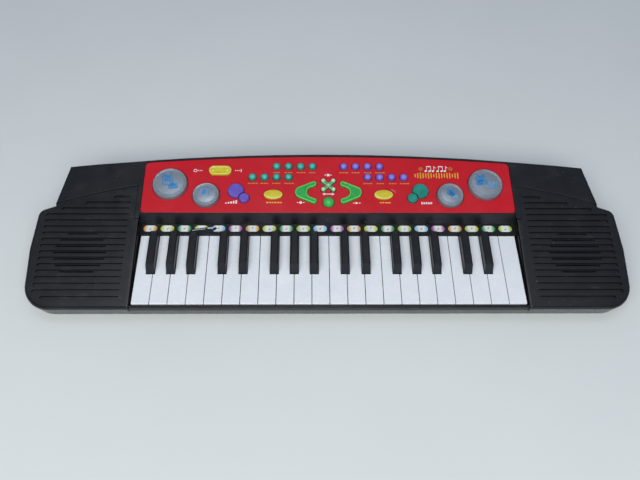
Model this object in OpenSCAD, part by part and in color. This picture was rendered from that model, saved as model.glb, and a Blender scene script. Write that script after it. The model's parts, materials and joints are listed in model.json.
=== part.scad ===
// Toy electronic keyboard: two-shell case, control panel, 22 white and 15 black keys.
// Origin at the middle of the footprint on the table, +X along the keys, +Y to the rear, +Z up.

/* [Case] */
// Width across the two speaker wings
body_w = 548; // [540:1:556]
// Depth from the wing fronts to the middle of the arched rear edge
body_d = 160; // [159:0.5:163]
// Height of the top surface at the front edge
front_h = 22; // [21.5:0.25:23]
// Rise of the top surface towards the rear, in degrees
top_slope = 6; // [5.8:0.1:6.4]
// Height of the joint line between the two shells along the keys
parting_h = 15.5; // [15:0.25:16]
// How much higher the joint line runs round the wings
parting_step = 3; // [2:0.25:3.25]
// Wall thickness of the shells
wall = 2.2; // [2:0.1:2.4]
// Step from the wings up to the centre block
block_step = 1.4; // [1:0.1:1.8]
// Half width of the case at its rear corners
rear_half_w = 246.5; // [244:0.5:248]
// Half width of the centre block where it leaves the wings
notch_half_w = 257.5; // [255:0.5:259]
// Distance from the wing fronts to the wing rears
wing_d = 103; // [101:0.5:104]
// Radius of the arched rear edge in plan
rear_arc_r = 2087; // [1900:10:2300]
// Corner radius at the front of the wings
front_r = 24; // [20:0.5:26]
// Corner radius at the rear of the wings
wing_r = 8; // [6:0.5:10]
// Radius in plan of the ridge between a wing and the centre block
ridge_r = 635; // [600:5:700]
// Half width of the centre block beside the control panel
block_half_w = 182; // [180.5:0.5:183]

/* [Grooves] */
// Grooves in each wing
grooves = 17; // [12:1:17]
// Distance between grooves along the slope
groove_pitch = 6.4; // [6:0.1:6.4]
// Width of a groove
groove_w = 3.4; // [2:0.1:3.6]
// Depth of a groove
groove_depth = 1.4; // [0.8:0.1:1.5]
// Radius of the area over a speaker where slots go through the groove floors
grille_r = 24; // [20:1:25]
// Width of a through slot
grille_slot_w = 1.4; // [1:0.1:1.8]

/* [Keys] */
// Distance between white keys
key_pitch = 16; // [15.9:0.05:16]
// White keys
white_keys = 22; // [22:1:22]
// Gap between neighbouring keys
key_gap = 0.6; // [0.5:0.05:0.7]
// Visible length of a white key
white_len = 71.2; // [70.5:0.1:71.4]
// Visible length of a black key
black_len = 40.6; // [39:0.1:42]
// Width of a black key at its base
black_w = 7.6; // [7.5:0.1:8.2]
// Width of a black key at its top
black_top_w = 7.1; // [6.8:0.1:7.1]
// Height of a black key above the white keys
black_rise = 8.5; // [7.5:0.1:9]
// Height of the underside of the keys
key_base_h = 14.5; // [14.4:0.1:14.8]
// Radius of the bar that the keys turn on
pivot_r = 1.5; // [1.4:0.05:1.6]

/* [Control panel] */
// Half width of the panel
panel_half_w = 177.3; // [177:0.1:178]
// Distance up the slope from the front edge to the panel
panel_s = 95; // [94.8:0.1:95.4]
// Thickness of the panel
panel_t = 1.6; // [1.4:0.1:1.6]
// Margin between the panel and the case's rear edge
panel_margin = 3; // [2.8:0.1:3.4]
// Gap round a button in its hole
button_gap = 0.4; // [0.35:0.05:0.45]

/* [Battery bay] */
// Inside width of the bay, four AA cells side by side
bay_w = 63; // [62:0.5:64]
// Inside length of the bay
bay_l = 53; // [52:0.5:53.5]

/* [Hidden] */
$fn = 48;
BIG = 400;
EPS = 0.01;

front_y = -body_d / 2;
rear_y = body_d / 2;
notch_y = front_y + wing_d;
wing_parting_h = parting_h + parting_step;
split_x = 178.5;
rear_s = body_d / cos(top_slope);
outline_fn = 720;

// Bottom shell
floor_h = 1.2;
floor_t = 2.2;
top_inset = 1.2;
base_inset = 4.5;
relief_h = 10.4;

// Ridge between wing and block: where it starts beside the panel, and its lean there in degrees
ridge_start_y = front_y + 124.1;
ridge_lean = 10.8;
ridge_x = block_half_w - ridge_r * sin(ridge_lean);
ridge_y = ridge_start_y - ridge_r * cos(ridge_lean);
ridge_margin = 8;

// Wing outline: how far the sides draw in towards both corners, the round of their middle, the slant of the rear
side_draw = 1.8;
side_round_r = 50;
side_round_y = front_y + 58;
wing_rear_angle = 20.6;
wing_rear_run = 30;

// Grooves: place of the first one, their ends, and how much shorter the first one is
groove_first_s = 9.8;
groove_inner_x = 187;
groove_outer_x = 264.5;
groove_first_cut = 8;
grille_cut = 8;

// Key slot, label shelf and riser
slot_half_w = 177.5;
slot_front_y = front_y + 3.8;
slot_rear_y = front_y + 76;
shelf_h = front_h + 0.5;
shelf_rear_y = front_y + 88.3;
riser_run = 5;
riser_rise = 10.5;
rail_h = front_h - 1;
rail_set_back = 0.8;
cheek_t = 2;

// Heights normal to the slope, from the wing surface
panel_h = 0.9;
deck_top_h = panel_h - panel_t;
deck_under_h = -2.7;
flange_h = -2.9;
flange_t = 1.2;
rocker_flange_h = -3.7;
hole_cut = 8;
hole_relief = 0.2;
board_h = -9;
board_t = 1.6;
board_half_w = 168;
board_front_s = 98.8;
board_l = 50.6;
board_boss_r = 2.5;
board_boss_top = -1.5;
panel_corner_r = 4;
dome_button_h = -5.5;
dome_pad_h = -5.9;
dome_rocker_h = -5.9;

// Panel features: x and distance up the slope
pad_large_at = [151.6, 125.8];
pad_small_at = [116.5, 113.6];
rocker_big_at = [88.4, 118.6];
rocker_small_at = [80.3, 110.7];
power_at = [-104.5, 141.3];
oval_at = [52.8, 114.5];
arrow_at = [22, 116.8];
cross_at = [0, 124.7];
round_at = [0, 106.4];
row_back_s = 146.3;
row_front_s = 134.1;
row_back_x = 15.2;
row_front_x = 38.3;
bank_pitch = 11.62;
bank_count = 4;

pad_large_r = 16.9;
pad_small_r = 13.1;
pad_rise = 3.6;
rocker_big_r = 7.7;
rocker_small_r = 4.95;
rocker_groove = 0.7;
power_l = 21.8;
power_w = 10.1;
power_dot_r = 1.1;
power_dot_x = 7;
oval_l = 18;
oval_w = 10;
small_r = 3.85;
round_r = 5.5;
ball_offset = 4.8;
ball_r = 2.4;
cross_arm_w = 3.6;
dome_r = 6.6;

// Arrow: a rounded elbow and two tapering arms, pointing to -X, hollowed by a rounded notch
elbow = [-3.5, 0];
elbow_r = 6.5;
arm_tip = [8, 9.4];
arm_tip_r = 2.7;
arrow_notch = [7.5, 0];
arrow_notch_r = 5.9;
arrow_mouth = [16, 0];
arrow_mouth_r = 9;

// Keys
key_front_y = front_y + 4.3;
white_rear_y = key_front_y + white_len;
black_front_y = white_rear_y - black_len;
black_slope = 5.7;
pivot_y = front_y + 88.3;
pivot_z = front_h - 6;
key_skin = 1.8;
key_wall = 1.2;
key_edge = 0.5;
arm_w = 5;
arm_overlap = 3;
arm_top_h = 19.2;
hook_r = 3.2;
hook_clearance = 0.06;
hook_mouth = 2.3;
plunger_y = -25;
plunger_t = 2;
plunger_inset = 0.5;
black_plunger_h = 6;
black_skin = 2.2;
keybed_half_w = key_pitch * white_keys / 2;
slot_gap = 0.4;

// Black keys: the white key before each one, and its offset from the joint
OCTAVE_AFTER = [0, 1, 2, 4, 5];
OCTAVE_SHIFT = [-2.2, 0, 2.2, -1.5, 1.5];
BLACKS = [for (o = [0:2]) for (k = [0:4]) [o * 7 + OCTAVE_AFTER[k], OCTAVE_SHIFT[k]]];
PLAIN_JOINTS = [for (o = [0:2]) for (k = [3, 6]) o * 7 + k];

// Key contact board and its rubber
contact_z = 6;
contact_y = [-38, -12];
sheet_t = 1.2;
white_dome_top = 12.9;
black_dome_top = 12.5;

// Speakers
speaker_at = [228, 54];
speaker_r = 28.5;
speaker_ring = 1.5;
speaker_ring_low = -5;
speaker_ring_h = 4;

// Fasteners
CASE_BOSSES = [for (m = [-1, 1]) for (p = [[252, -62], [190, -70], [258, 2], [236, 52], [84, 66]])
    [m * p[0], p[1]]];
BOARD_BOSSES = concat([for (m = [-1, 1]) for (p = [[164, 103], [64, 102.5], [135, 146]])
    [m * p[0], p[1]]], [[0, 147]]);
boss_r = 3.5;
pilot_r = 1.3;
pilot_depth = 4.7;
wing_pilot_skin = 1.1;
screw_head_r = 2.9;
screw_head_h = 2;
screw_recess_h = 8;
shank_r = 1.25;
shank_gap = 0.25;
screw_l = 14;

// Battery bay
bay_front_y = 15;
bay_roof_h = 18;
bay_wall = 1.6;
door_t = 1.6;
door_lip = 2.2;
door_gap = 0.3;
door_frame_t = 1.4;
door_frame_top = 5;
door_ear_at = [16, 7.5];
door_ear_r = 5;
door_boss_h = 8;
door_screw_r = 1.1;
door_screw_head_r = 2.6;
door_grips = 5;
cells = 4;
contact_plate = [10, 0.5, 10];
contact_spring_l = 5;

FEET = [for (m = [-1, 1]) for (p = [[222, -64], [222, 8], [120, 60], [120, -64]]) [m * p[0], p[1]]];
foot_r = 8;

// Uprights that hold the pivot bar, and the rests of the key contact board
upright_t = 1.6;
upright_l = 6;
rest_at = 120;
rest_l = 80;
rest_t = 2;

function two_digits(i) = i < 10 ? str("0", i) : str(i);
function white_name(i) = str("white_key_", two_digits(i + 1));
function black_name(i) = str("black_key_", two_digits(i + 1));
function joint_x(i) = -keybed_half_w + (i + 1) * key_pitch;
function black_x(b) = joint_x(BLACKS[b][0]) + BLACKS[b][1];
function first(list, fallback) = len(list) > 0 ? list[0] : fallback;
slot_reach = black_w / 2 + slot_gap;
function boss_top(p) = abs(p[0]) > split_x ? wing_parting_h : parting_h;
// Left and right sides of white key i beside the black keys
function white_left(i) = first([for (b = [0:14]) if (BLACKS[b][0] == i - 1) black_x(b) + slot_reach],
    joint_x(i - 1) + key_gap / 2);
function white_right(i) = first([for (b = [0:14]) if (BLACKS[b][0] == i) black_x(b) - slot_reach],
    joint_x(i) - key_gap / 2);
function ellipse(a, b, n = 48) = [for (i = [0:n - 1]) [a * cos(360 * i / n), b * sin(360 * i / n)]];
function up_slope(p) = [p[0], (p[1] - front_y) / cos(top_slope)];
function on_ridge(y) = ridge_x + sqrt(pow(ridge_r, 2) - pow(y - ridge_y, 2));

// ---- Shared shapes ----

// Frame whose XY plane is the wings' sloping surface, from the front edge
module on_slope() {
    translate([0, front_y, front_h]) rotate([top_slope, 0, 0]) children();
}

module at(p, h = 0) {
    translate([p[0], p[1], h]) children();
}

module below_slope(h) {
    on_slope() translate([-BIG, -BIG / 2, h - BIG]) cube([2 * BIG, 2 * BIG, BIG]);
}

module stadium(l, w) {
    square([l - w, w], center = true);
    for (m = [-1, 1]) translate([m * (l - w) / 2, 0]) circle(d = w);
}

// Two circles and the straight sides that touch both, set in a hair so that they cross cleanly
module taper_bar(p, r1, q, r2) {
    d = norm(q - p);
    a = atan2(q[1] - p[1], q[0] - p[0]);
    b = acos((r1 - r2) / d);
    g1 = r1 - 2 * EPS;
    g2 = r2 - 2 * EPS;
    translate(p) circle(r1);
    translate(q) circle(r2);
    polygon([p + g1 * [cos(a + b), sin(a + b)], q + g2 * [cos(a + b), sin(a + b)],
             q + g2 * [cos(a - b), sin(a - b)], p + g1 * [cos(a - b), sin(a - b)]]);
}

// ---- Case outline ----

// Rounded corners joined by straight sides; the rear edge slants back to the notch beside the block
module wing_outline(inset) {
    x = body_w / 2;
    front = [x - side_draw - front_r, front_y + front_r];
    middle = [x - side_round_r, side_round_y];
    rear_x = x - side_draw - wing_r;
    slant = [sin(wing_rear_angle), cos(wing_rear_angle)];
    rear = [rear_x, ([notch_half_w - 1.5, notch_y + 0.5] * slant - wing_r - rear_x * slant[0]) / slant[1]];
    inner = rear + wing_rear_run * [-slant[1], slant[0]];
    translate([-front[0], front_y + inset]) square([2 * front[0], rear[1] - front_y - inset]);
    for (m = [0, 1]) mirror([m, 0, 0]) {
        taper_bar(middle, side_round_r - inset, front, front_r - inset);
        taper_bar(middle, side_round_r - inset, rear, wing_r - inset);
        taper_bar(inner, wing_r - inset, rear, wing_r - inset);
        polygon([front, middle, rear, inner, [0, inner[1]], [0, front[1]]]);
    }
}

module block_outline(inset) {
    run = rear_y - notch_y;
    lean = (notch_half_w - rear_half_w) / run;
    low_y = 0;
    low_x = notch_half_w + lean * (notch_y - low_y) - inset;
    high_x = rear_half_w - inset;
    intersection() {
        polygon([[-low_x, low_y], [low_x, low_y], [high_x, rear_y], [-high_x, rear_y]]);
        translate([0, rear_y - rear_arc_r]) circle(rear_arc_r - inset, $fn = outline_fn);
    }
}

module case_outline(inset) {
    wing_outline(inset);
    block_outline(inset);
}

// The centre block: behind the ridges and beside the panel
module block_area(inset) {
    difference() {
        translate([-BIG, shelf_rear_y]) square([2 * BIG, BIG]);
        for (m = [-1, 1]) intersection() {
            translate([m * ridge_x, ridge_y]) circle(ridge_r + inset, $fn = 180);
            translate([m * (block_half_w - inset + BIG / 2), 0]) square([BIG, 2 * BIG], center = true);
        }
    }
}

module side_areas(x) {
    for (m = [-1, 1]) translate([m * (x + BIG / 2), 0]) square([BIG, 2 * BIG], center = true);
}

// ---- Top case ----

module top_outside() {
    intersection() {
        translate([0, 0, parting_h]) linear_extrude(BIG / 8) case_outline(0);
        union() {
            below_slope(0);
            intersection() {
                below_slope(block_step);
                linear_extrude(BIG / 4) block_area(0);
            }
        }
    }
}

// Open space above the label shelf and the riser, for |x| up to half
module shelf_space(half, inset) {
    x_low = shelf_rear_y + inset;
    rotate([90, 0, 90]) translate([0, 0, -half]) linear_extrude(2 * half)
        polygon([[slot_front_y, shelf_h - inset], [x_low, shelf_h - inset],
                 [x_low + riser_run, shelf_h + riser_rise - inset], [x_low + 3 * riser_run, BIG / 4],
                 [slot_front_y, BIG / 4]]);
}

module key_slot(margin) {
    translate([-slot_half_w - margin, slot_front_y - margin, -BIG / 2])
        cube([2 * (slot_half_w + margin), slot_rear_y - slot_front_y + 2 * margin, BIG]);
}

module groove_line(i, w) {
    s = groove_first_s + i * groove_pitch;
    inner = groove_inner_x;
    limit = groove_outer_x - (i == 0 ? groove_first_cut : 0);
    outer = min(limit, on_ridge(front_y + s * cos(top_slope) + ridge_margin));
    translate([(inner + outer) / 2, s]) stadium(outer - inner, w);
}

module groove_area(w) {
    for (i = [0:grooves - 1]) groove_line(i, w);
}

module wing_grooves() {
    for (m = [0, 1]) on_slope() mirror([m, 0, 0]) {
        translate([0, 0, -groove_depth]) linear_extrude(5) groove_area(groove_w);
        intersection() {
            translate([0, 0, -grille_cut]) linear_extrude(1.5 * grille_cut) groove_area(grille_slot_w);
            at(speaker_at, -grille_cut - 1) cylinder(h = 2 * grille_cut + 2, r = grille_r);
        }
    }
}

module panel_area(inset) {
    r = panel_corner_r;
    w = panel_half_w - inset;
    s0 = panel_s + inset;
    s1 = rear_s - panel_margin - inset;
    corner_s = s1 - rear_arc_r + sqrt(pow(rear_arc_r, 2) - pow(w - r, 2)) - r;
    intersection() {
        union() {
            translate([-w + r, s0]) square([2 * (w - r), s1 - s0]);
            translate([-w, s0 + r]) square([2 * w, corner_s - s0 - r]);
            for (m = [-1, 1]) for (s = [s0 + r, corner_s]) translate([m * (w - r), s]) circle(r);
        }
        translate([0, s1 - rear_arc_r]) circle(rear_arc_r, $fn = outline_fn);
    }
}

module top_case() {
    color([0.11, 0.11, 0.12]) {
        difference() {
            union() {
                difference() {
                    top_outside();
                    difference() {
                        intersection() {
                            translate([0, 0, -1]) linear_extrude(BIG / 8) case_outline(wall);
                            below_slope(deck_under_h);
                        }
                        shelf_space(slot_half_w + wall, wall);
                    }
                }
                intersection() {
                    top_outside();
                    difference() {
                        key_slot(cheek_t);
                        translate([0, slot_rear_y + BIG / 2, 0]) cube([BIG * 2, BIG, BIG * 2], center = true);
                    }
                }
                intersection() {
                    top_outside();
                    union() {
                        for (p = CASE_BOSSES) at(p) cylinder(h = BIG / 8, r = boss_r);
                        on_slope() for (m = [-1, 1]) at([m * speaker_at[0], speaker_at[1]], speaker_ring_low)
                            cylinder(h = speaker_ring_h, r = speaker_r + 2 * speaker_ring);
                    }
                }
                on_slope() for (p = BOARD_BOSSES) at(p, board_h)
                    cylinder(h = board_boss_top - board_h, r = board_boss_r);
            }
            key_slot(0);
            shelf_space(slot_half_w, 0);
            translate([-slot_half_w, front_y - 1, rail_h]) cube([2 * slot_half_w, 6, BIG / 8]);
            translate([-slot_half_w, front_y - 1, 0]) cube([2 * slot_half_w, 1 + rail_set_back, BIG / 8]);
            linear_extrude(wing_parting_h) side_areas(split_x);
            wing_grooves();
            on_slope() translate([0, 0, deck_top_h]) linear_extrude(BIG / 8) panel_area(0);
            on_slope() translate([0, 0, -hole_cut]) linear_extrude(hole_cut + 1) all_holes(hole_relief);
            on_slope() for (m = [-1, 1]) at([m * speaker_at[0], speaker_at[1]], speaker_ring_low - 1)
                cylinder(h = 1 + deck_under_h - speaker_ring_low, r = speaker_r + speaker_ring / 2);
            for (p = CASE_BOSSES) {
                wing = abs(p[0]) > split_x;
                depth = wing ? front_h - wing_pilot_skin - parting_h : pilot_depth;
                at(p, parting_h - 1) cylinder(h = 1 + depth, r = pilot_r);
            }
        }
    }
}

// ---- Bottom case ----

// The outline shrinks towards the table, so the walls draw in
module tray(z0, inset, h) {
    x = body_w / 2;
    y = body_d / 2;
    spread = base_inset - top_inset;
    translate([0, 0, z0])
        linear_extrude(h, scale = [1 + spread / (x - inset), 1 + spread / (y - inset)], slices = 1)
            case_outline(inset, $fn = 32);
}

module bay_block(grow, z0, z1) {
    translate([-bay_w / 2 - grow, bay_front_y - grow, z0])
        cube([bay_w + 2 * grow, bay_l + 2 * grow, z1 - z0]);
}

module door_area(grow) {
    g = door_lip + grow;
    translate([-bay_w / 2 - g, bay_front_y - g]) square([bay_w + 2 * g, bay_l + 2 * g]);
    translate(door_ear_at) circle(door_ear_r + grow);
    translate([door_ear_at[0] - door_ear_r - grow, door_ear_at[1]])
        square([2 * (door_ear_r + grow), bay_front_y - door_ear_at[1]]);
}

module pivot_bar() {
    half = slot_half_w - 0.5;
    translate([-half, pivot_y, pivot_z]) rotate([0, 90, 0]) cylinder(h = 2 * half, r = pivot_r);
    for (x = concat([-half + 0.3, half - 0.3], [for (j = PLAIN_JOINTS) joint_x(j)]))
        translate([x - upright_t / 2, pivot_y - upright_l / 2, floor_h + 1])
            cube([upright_t, upright_l, pivot_z - floor_h]);
}

module bottom_case() {
    tray_h = wing_parting_h - floor_h;
    color([0.13, 0.13, 0.14]) {
        difference() {
            union() {
                difference() {
                    tray(floor_h, base_inset, tray_h);
                    tray(floor_h + floor_t, base_inset + wall, tray_h);
                    translate([0, 0, (parting_h + BIG / 2)]) cube([2 * split_x, BIG, BIG], center = true);
                }
                for (p = CASE_BOSSES) at(p, floor_h)
                    cylinder(h = boss_top(p) - floor_h, r = boss_r);
                for (p = FEET) at(p) cylinder(h = floor_h + 1, r = foot_r);
                bay_block(bay_wall, floor_h + 1, bay_roof_h + bay_wall);
                bay_block(door_lip + door_frame_t, floor_h + 1, door_frame_top);
                at(door_ear_at, floor_h + 1) cylinder(h = door_boss_h, r = door_ear_r + 1);
                for (m = [-1, 1]) for (y = [contact_y[0] + rest_t, contact_y[1] - 2 * rest_t])
                    translate([m * rest_at - rest_l / 2, y, floor_h + 1])
                        cube([rest_l, rest_t, contact_z - floor_h - 1]);
            }
            bay_block(0, -1, bay_roof_h);
            translate([-slot_half_w, slot_front_y, relief_h]) cube([2 * slot_half_w, 8, BIG / 8]);
            translate([0, 0, -1]) linear_extrude(1 + floor_h + door_t + 0.1) door_area(door_gap);
            at(door_ear_at) cylinder(h = door_boss_h + 1, r = door_screw_r + 0.1);
            for (p = CASE_BOSSES) at(p, -1) {
                cylinder(h = 1 + screw_recess_h, r = screw_head_r + 0.4);
                cylinder(h = BIG / 8, r = shank_r + shank_gap);
            }
        }
        pivot_bar();
    }
}

module battery_door() {
    color([0.13, 0.13, 0.14]) translate([0, 0, floor_h]) difference() {
        linear_extrude(door_t) door_area(0);
        at(door_ear_at, -1) cylinder(h = 1.8, r = door_screw_head_r + 0.3);
        at(door_ear_at, -1) cylinder(h = 2 + door_t, r = door_screw_r + 0.3);
        for (i = [0:door_grips - 1]) translate([-12, bay_front_y + 9 + 4 * i, -1]) cube([24, 1.6, 1.6]);
    }
}

// ---- Control panel ----

module bank_spots(side) {
    for (i = [0:bank_count - 1]) {
        translate([side * (row_back_x + i * bank_pitch), row_back_s]) children();
        translate([side * (row_front_x + i * bank_pitch), row_front_s]) children();
    }
}

module arrow_area(grow) {
    difference() {
        for (m = [-1, 1]) taper_bar(elbow, elbow_r + grow, [arm_tip[0], m * arm_tip[1]], arm_tip_r + grow);
        taper_bar(arrow_notch, arrow_notch_r - grow, arrow_mouth, arrow_mouth_r - grow);
    }
}

module cross_area(grow) {
    for (a = [45, 135]) rotate(a) {
        stadium(2 * sqrt(2) * ball_offset + cross_arm_w, cross_arm_w + 2 * grow);
        for (m = [-1, 1]) translate([m * sqrt(2) * ball_offset, 0]) circle(ball_r + grow);
    }
}

module rocker_area(side, grow) {
    translate([side * rocker_big_at[0], rocker_big_at[1]]) circle(rocker_big_r + grow);
    translate([side * rocker_small_at[0], rocker_small_at[1]]) circle(rocker_small_r + grow);
}

module all_holes(extra) {
    g = button_gap + extra;
    for (m = [-1, 1]) {
        translate([m * pad_large_at[0], pad_large_at[1]]) circle(pad_large_r + g);
        translate([m * pad_small_at[0], pad_small_at[1]]) circle(pad_small_r + g);
        translate([m * oval_at[0], oval_at[1]]) polygon(ellipse(oval_l / 2 + g, oval_w / 2 + g));
        bank_spots(m) circle(small_r + g, $fn = 32);
        rocker_area(m, g);
    }
    translate(power_at) stadium(power_l + 2 * g, power_w + 2 * g);
    translate([-arrow_at[0], arrow_at[1]]) arrow_area(g);
    translate([arrow_at[0], arrow_at[1]]) mirror([1, 0]) arrow_area(g);
    translate(cross_at) cross_area(g);
    translate(round_at) circle(round_r + g);
}

module control_panel() {
    color([0.72, 0.13, 0.19]) on_slope() translate([0, 0, deck_top_h]) linear_extrude(panel_t)
        difference() {
            panel_area(0.2);
            all_holes(0);
        }
}

// ---- Buttons, drawn on the slope with a flange that stops them from below ----

module round_cap(r, top, edge, low = flange_h - flange_t) {
    rotate_extrude() polygon([[0, low], [r, low], [r, top - edge], [r - edge, top], [0, top]]);
}

module flange(r, h = flange_h) {
    translate([0, 0, h - flange_t]) cylinder(h = flange_t, r = r);
}

module pad(r, p) {
    color([0.62, 0.65, 0.69]) on_slope() at(p) {
        crown = panel_h + pad_rise;
        rotate_extrude() polygon([[0, flange_h - flange_t], [r, flange_h - flange_t], [r, panel_h + 1.2],
            [r - 0.5, crown - 1], [r - 1.4, crown - 0.2], [r - 3, crown], [0, crown + 0.5]]);
        flange(r + 1.4);
    }
}

module power_switch() {
    color([0.8, 0.78, 0.2]) on_slope() at(power_at) {
        low = rocker_flange_h - flange_t;
        translate([0, 0, low]) linear_extrude(panel_h + 1.8 - low) stadium(power_l, power_w);
        translate([0, 0, panel_h + 1.8 - EPS]) linear_extrude(0.7) stadium(power_l - 1.4, power_w - 1.4);
        translate([0, 0, low]) linear_extrude(flange_t) stadium(power_l + 2, power_w + 2);
        for (m = [-1, 1]) at([m * power_dot_x, -0.5], panel_h + 2.2) sphere(power_dot_r);
    }
}

module rocker(side, shade) {
    color(shade) on_slope() {
        big = [side * rocker_big_at[0], rocker_big_at[1]];
        small = [side * rocker_small_at[0], rocker_small_at[1]];
        difference() {
            at(big) round_cap(rocker_big_r, panel_h + 2.6, 0.9, rocker_flange_h);
            at(small, -2) cylinder(h = 9, r = rocker_small_r + rocker_groove);
        }
        at(small) round_cap(rocker_small_r, panel_h + 2.6, 0.9, rocker_flange_h);
        translate([0, 0, rocker_flange_h - flange_t]) linear_extrude(flange_t) rocker_area(side, 1);
    }
}

module button_bank(side, shade) {
    color(shade) on_slope() {
        bank_spots(side) round_cap(small_r, panel_h + 1.9, 0.8, flange_h - flange_t, $fn = 32);
        reach = (bank_count - 1) * bank_pitch;
        w = 2 * small_r + 1.7;
        translate([0, 0, flange_h - flange_t]) linear_extrude(flange_t) {
            translate([side * (row_back_x + reach / 2), row_back_s]) stadium(reach + w, w);
            translate([side * (row_front_x + reach / 2), row_front_s]) stadium(reach + w, w);
            translate([side * (row_front_x + w / 2), (row_back_s + row_front_s) / 2])
                square([w, row_back_s - row_front_s], center = true);
        }
    }
}

module oval_button(side) {
    color([0.82, 0.8, 0.2]) on_slope() translate([side * oval_at[0], oval_at[1], 0]) {
        low = flange_h - flange_t;
        translate([0, 0, low]) linear_extrude(panel_h + 1.6 - low) polygon(ellipse(oval_l / 2, oval_w / 2));
        translate([0, 0, panel_h + 1.6 - EPS]) linear_extrude(0.6)
            polygon(ellipse(oval_l / 2 - 0.8, oval_w / 2 - 0.8));
        translate([0, 0, low]) linear_extrude(flange_t) polygon(ellipse(oval_l / 2 + 1.2, oval_w / 2 + 1.2));
    }
}

module arrow_button(side) {
    color([0.2, 0.7, 0.3]) on_slope() translate([side * arrow_at[0], arrow_at[1], 0])
        mirror([side > 0 ? 1 : 0, 0, 0]) {
            low = flange_h - flange_t;
            translate([0, 0, low]) linear_extrude(panel_h + 1.8 - low) arrow_area(0);
            translate([0, 0, panel_h + 1.8 - EPS]) linear_extrude(0.6) arrow_area(-0.7);
            translate([0, 0, low]) linear_extrude(flange_t) arrow_area(1);
        }
}

module cross_button() {
    color([0.4, 0.75, 0.48]) on_slope() translate([cross_at[0], cross_at[1], 0]) {
        low = flange_h - flange_t;
        translate([0, 0, low]) linear_extrude(panel_h + 1.6 - low) cross_area(0);
        for (i = [-1, 1]) for (j = [-1, 1]) at([i * ball_offset, j * ball_offset], panel_h + 1.3)
            sphere(ball_r - 0.1);
        translate([0, 0, low]) linear_extrude(flange_t) cross_area(1);
    }
}

module round_button() {
    color([0.22, 0.7, 0.28]) on_slope() translate([round_at[0], round_at[1], 0]) {
        intersection() {
            translate([0, 0, flange_h - flange_t]) cylinder(h = 12, r = round_r);
            translate([0, 0, panel_h + 3.6 - dome_r]) union() {
                sphere(dome_r);
                translate([0, 0, -9]) cylinder(h = 9, r = round_r);
            }
        }
        flange(round_r + 1.2);
    }
}

// ---- Inside ----

module circuit_boards() {
    color([0.12, 0.36, 0.2]) {
        on_slope() difference() {
            translate([-board_half_w, board_front_s, board_h - board_t])
                cube([2 * board_half_w, board_l, board_t]);
            for (p = CASE_BOSSES) if (abs(p[0]) < board_half_w) at(up_slope(p), board_h - 5)
                cylinder(h = 10, r = boss_r + 1.6);
        }
        translate([-keybed_half_w + 2, contact_y[0], contact_z])
            cube([2 * keybed_half_w - 4, contact_y[1] - contact_y[0], board_t]);
    }
    color([0.08, 0.08, 0.09]) on_slope() {
        translate([-150, 108, board_h - board_t - 2.4]) cube([18, 12, 2.4]);
        translate([150, 108, board_h - board_t - 2.4]) cube([10, 14, 2.4]);
        for (x = [-118, 118]) at([x, 112], board_h - board_t - 7) cylinder(h = 7, r = 3);
    }
}

module speaker() {
    rotate_extrude() polygon([[0, -9.6], [5, -8.6], [24, -3.6], [25, -2.9], [speaker_r, -2.9],
        [speaker_r, -4.6], [26, -4.9], [15, -12.4], [14.5, -17.6], [0, -17.6]]);
}

module speakers() {
    color([0.3, 0.3, 0.32]) on_slope()
        for (m = [-1, 1]) translate([m * speaker_at[0], speaker_at[1], 0]) speaker();
}

// Domes stand at the height of a fully pressed key or button, so nothing overlaps them
module dome(top, r = 3) {
    base = board_h + sheet_t;
    translate([0, 0, base - EPS]) cylinder(h = top - base + EPS, r1 = r, r2 = r * 0.6, $fn = 24);
}

module contact_rubber() {
    color([0.35, 0.35, 0.37]) {
        z = contact_z + board_t;
        translate([-keybed_half_w + 3, plunger_y - 7, z]) cube([2 * keybed_half_w - 6, 14, sheet_t]);
        for (i = [0:white_keys - 1]) translate([(white_left(i) + white_right(i)) / 2, plunger_y, z])
            cylinder(h = white_dome_top - z, r1 = 3, r2 = 2, $fn = 24);
        for (b = [0:14]) translate([black_x(b), plunger_y, z])
            cylinder(h = black_dome_top - z, r1 = 3, r2 = 2, $fn = 24);
        on_slope() {
            for (m = [-1, 1]) {
                bank_spots(m) dome(dome_button_h, 2.6);
                at([m * pad_large_at[0], pad_large_at[1]]) dome(dome_pad_h, 6);
                at([m * pad_small_at[0], pad_small_at[1]]) dome(dome_pad_h, 5);
                at([m * oval_at[0], oval_at[1]]) dome(dome_button_h, 3);
                at([m * arrow_at[0], arrow_at[1]]) dome(dome_button_h, 3);
                at([m * rocker_big_at[0], rocker_big_at[1]]) dome(dome_rocker_h, 2.6);
                at([m * rocker_small_at[0], rocker_small_at[1]]) dome(dome_rocker_h, 2.2);
                at([power_at[0] + m * 7, power_at[1]]) dome(dome_rocker_h, 2.6);
            }
            at(cross_at) dome(dome_button_h, 2.6);
            at(round_at) dome(dome_button_h, 2.6);
            translate([0, 0, board_h]) difference() {
                translate([-board_half_w + 1, 105.5, 0]) cube([2 * board_half_w - 2, 43.4, sheet_t]);
                for (p = BOARD_BOSSES) at(p, -1) cylinder(h = 4, r = 4);
                for (p = CASE_BOSSES) if (abs(p[0]) < board_half_w)
                    at(up_slope(p), -1) cylinder(h = 4, r = boss_r + 2.5);
            }
        }
    }
}

module screw(head_z, head_r, head_h, length, r) {
    translate([0, 0, head_z]) difference() {
        union() {
            cylinder(h = head_h, r = head_r);
            cylinder(h = length, r = r);
        }
        for (a = [0, 90]) rotate(a) translate([-1.6, -0.35, -1]) cube([3.2, 0.7, 1.8]);
    }
}

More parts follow.
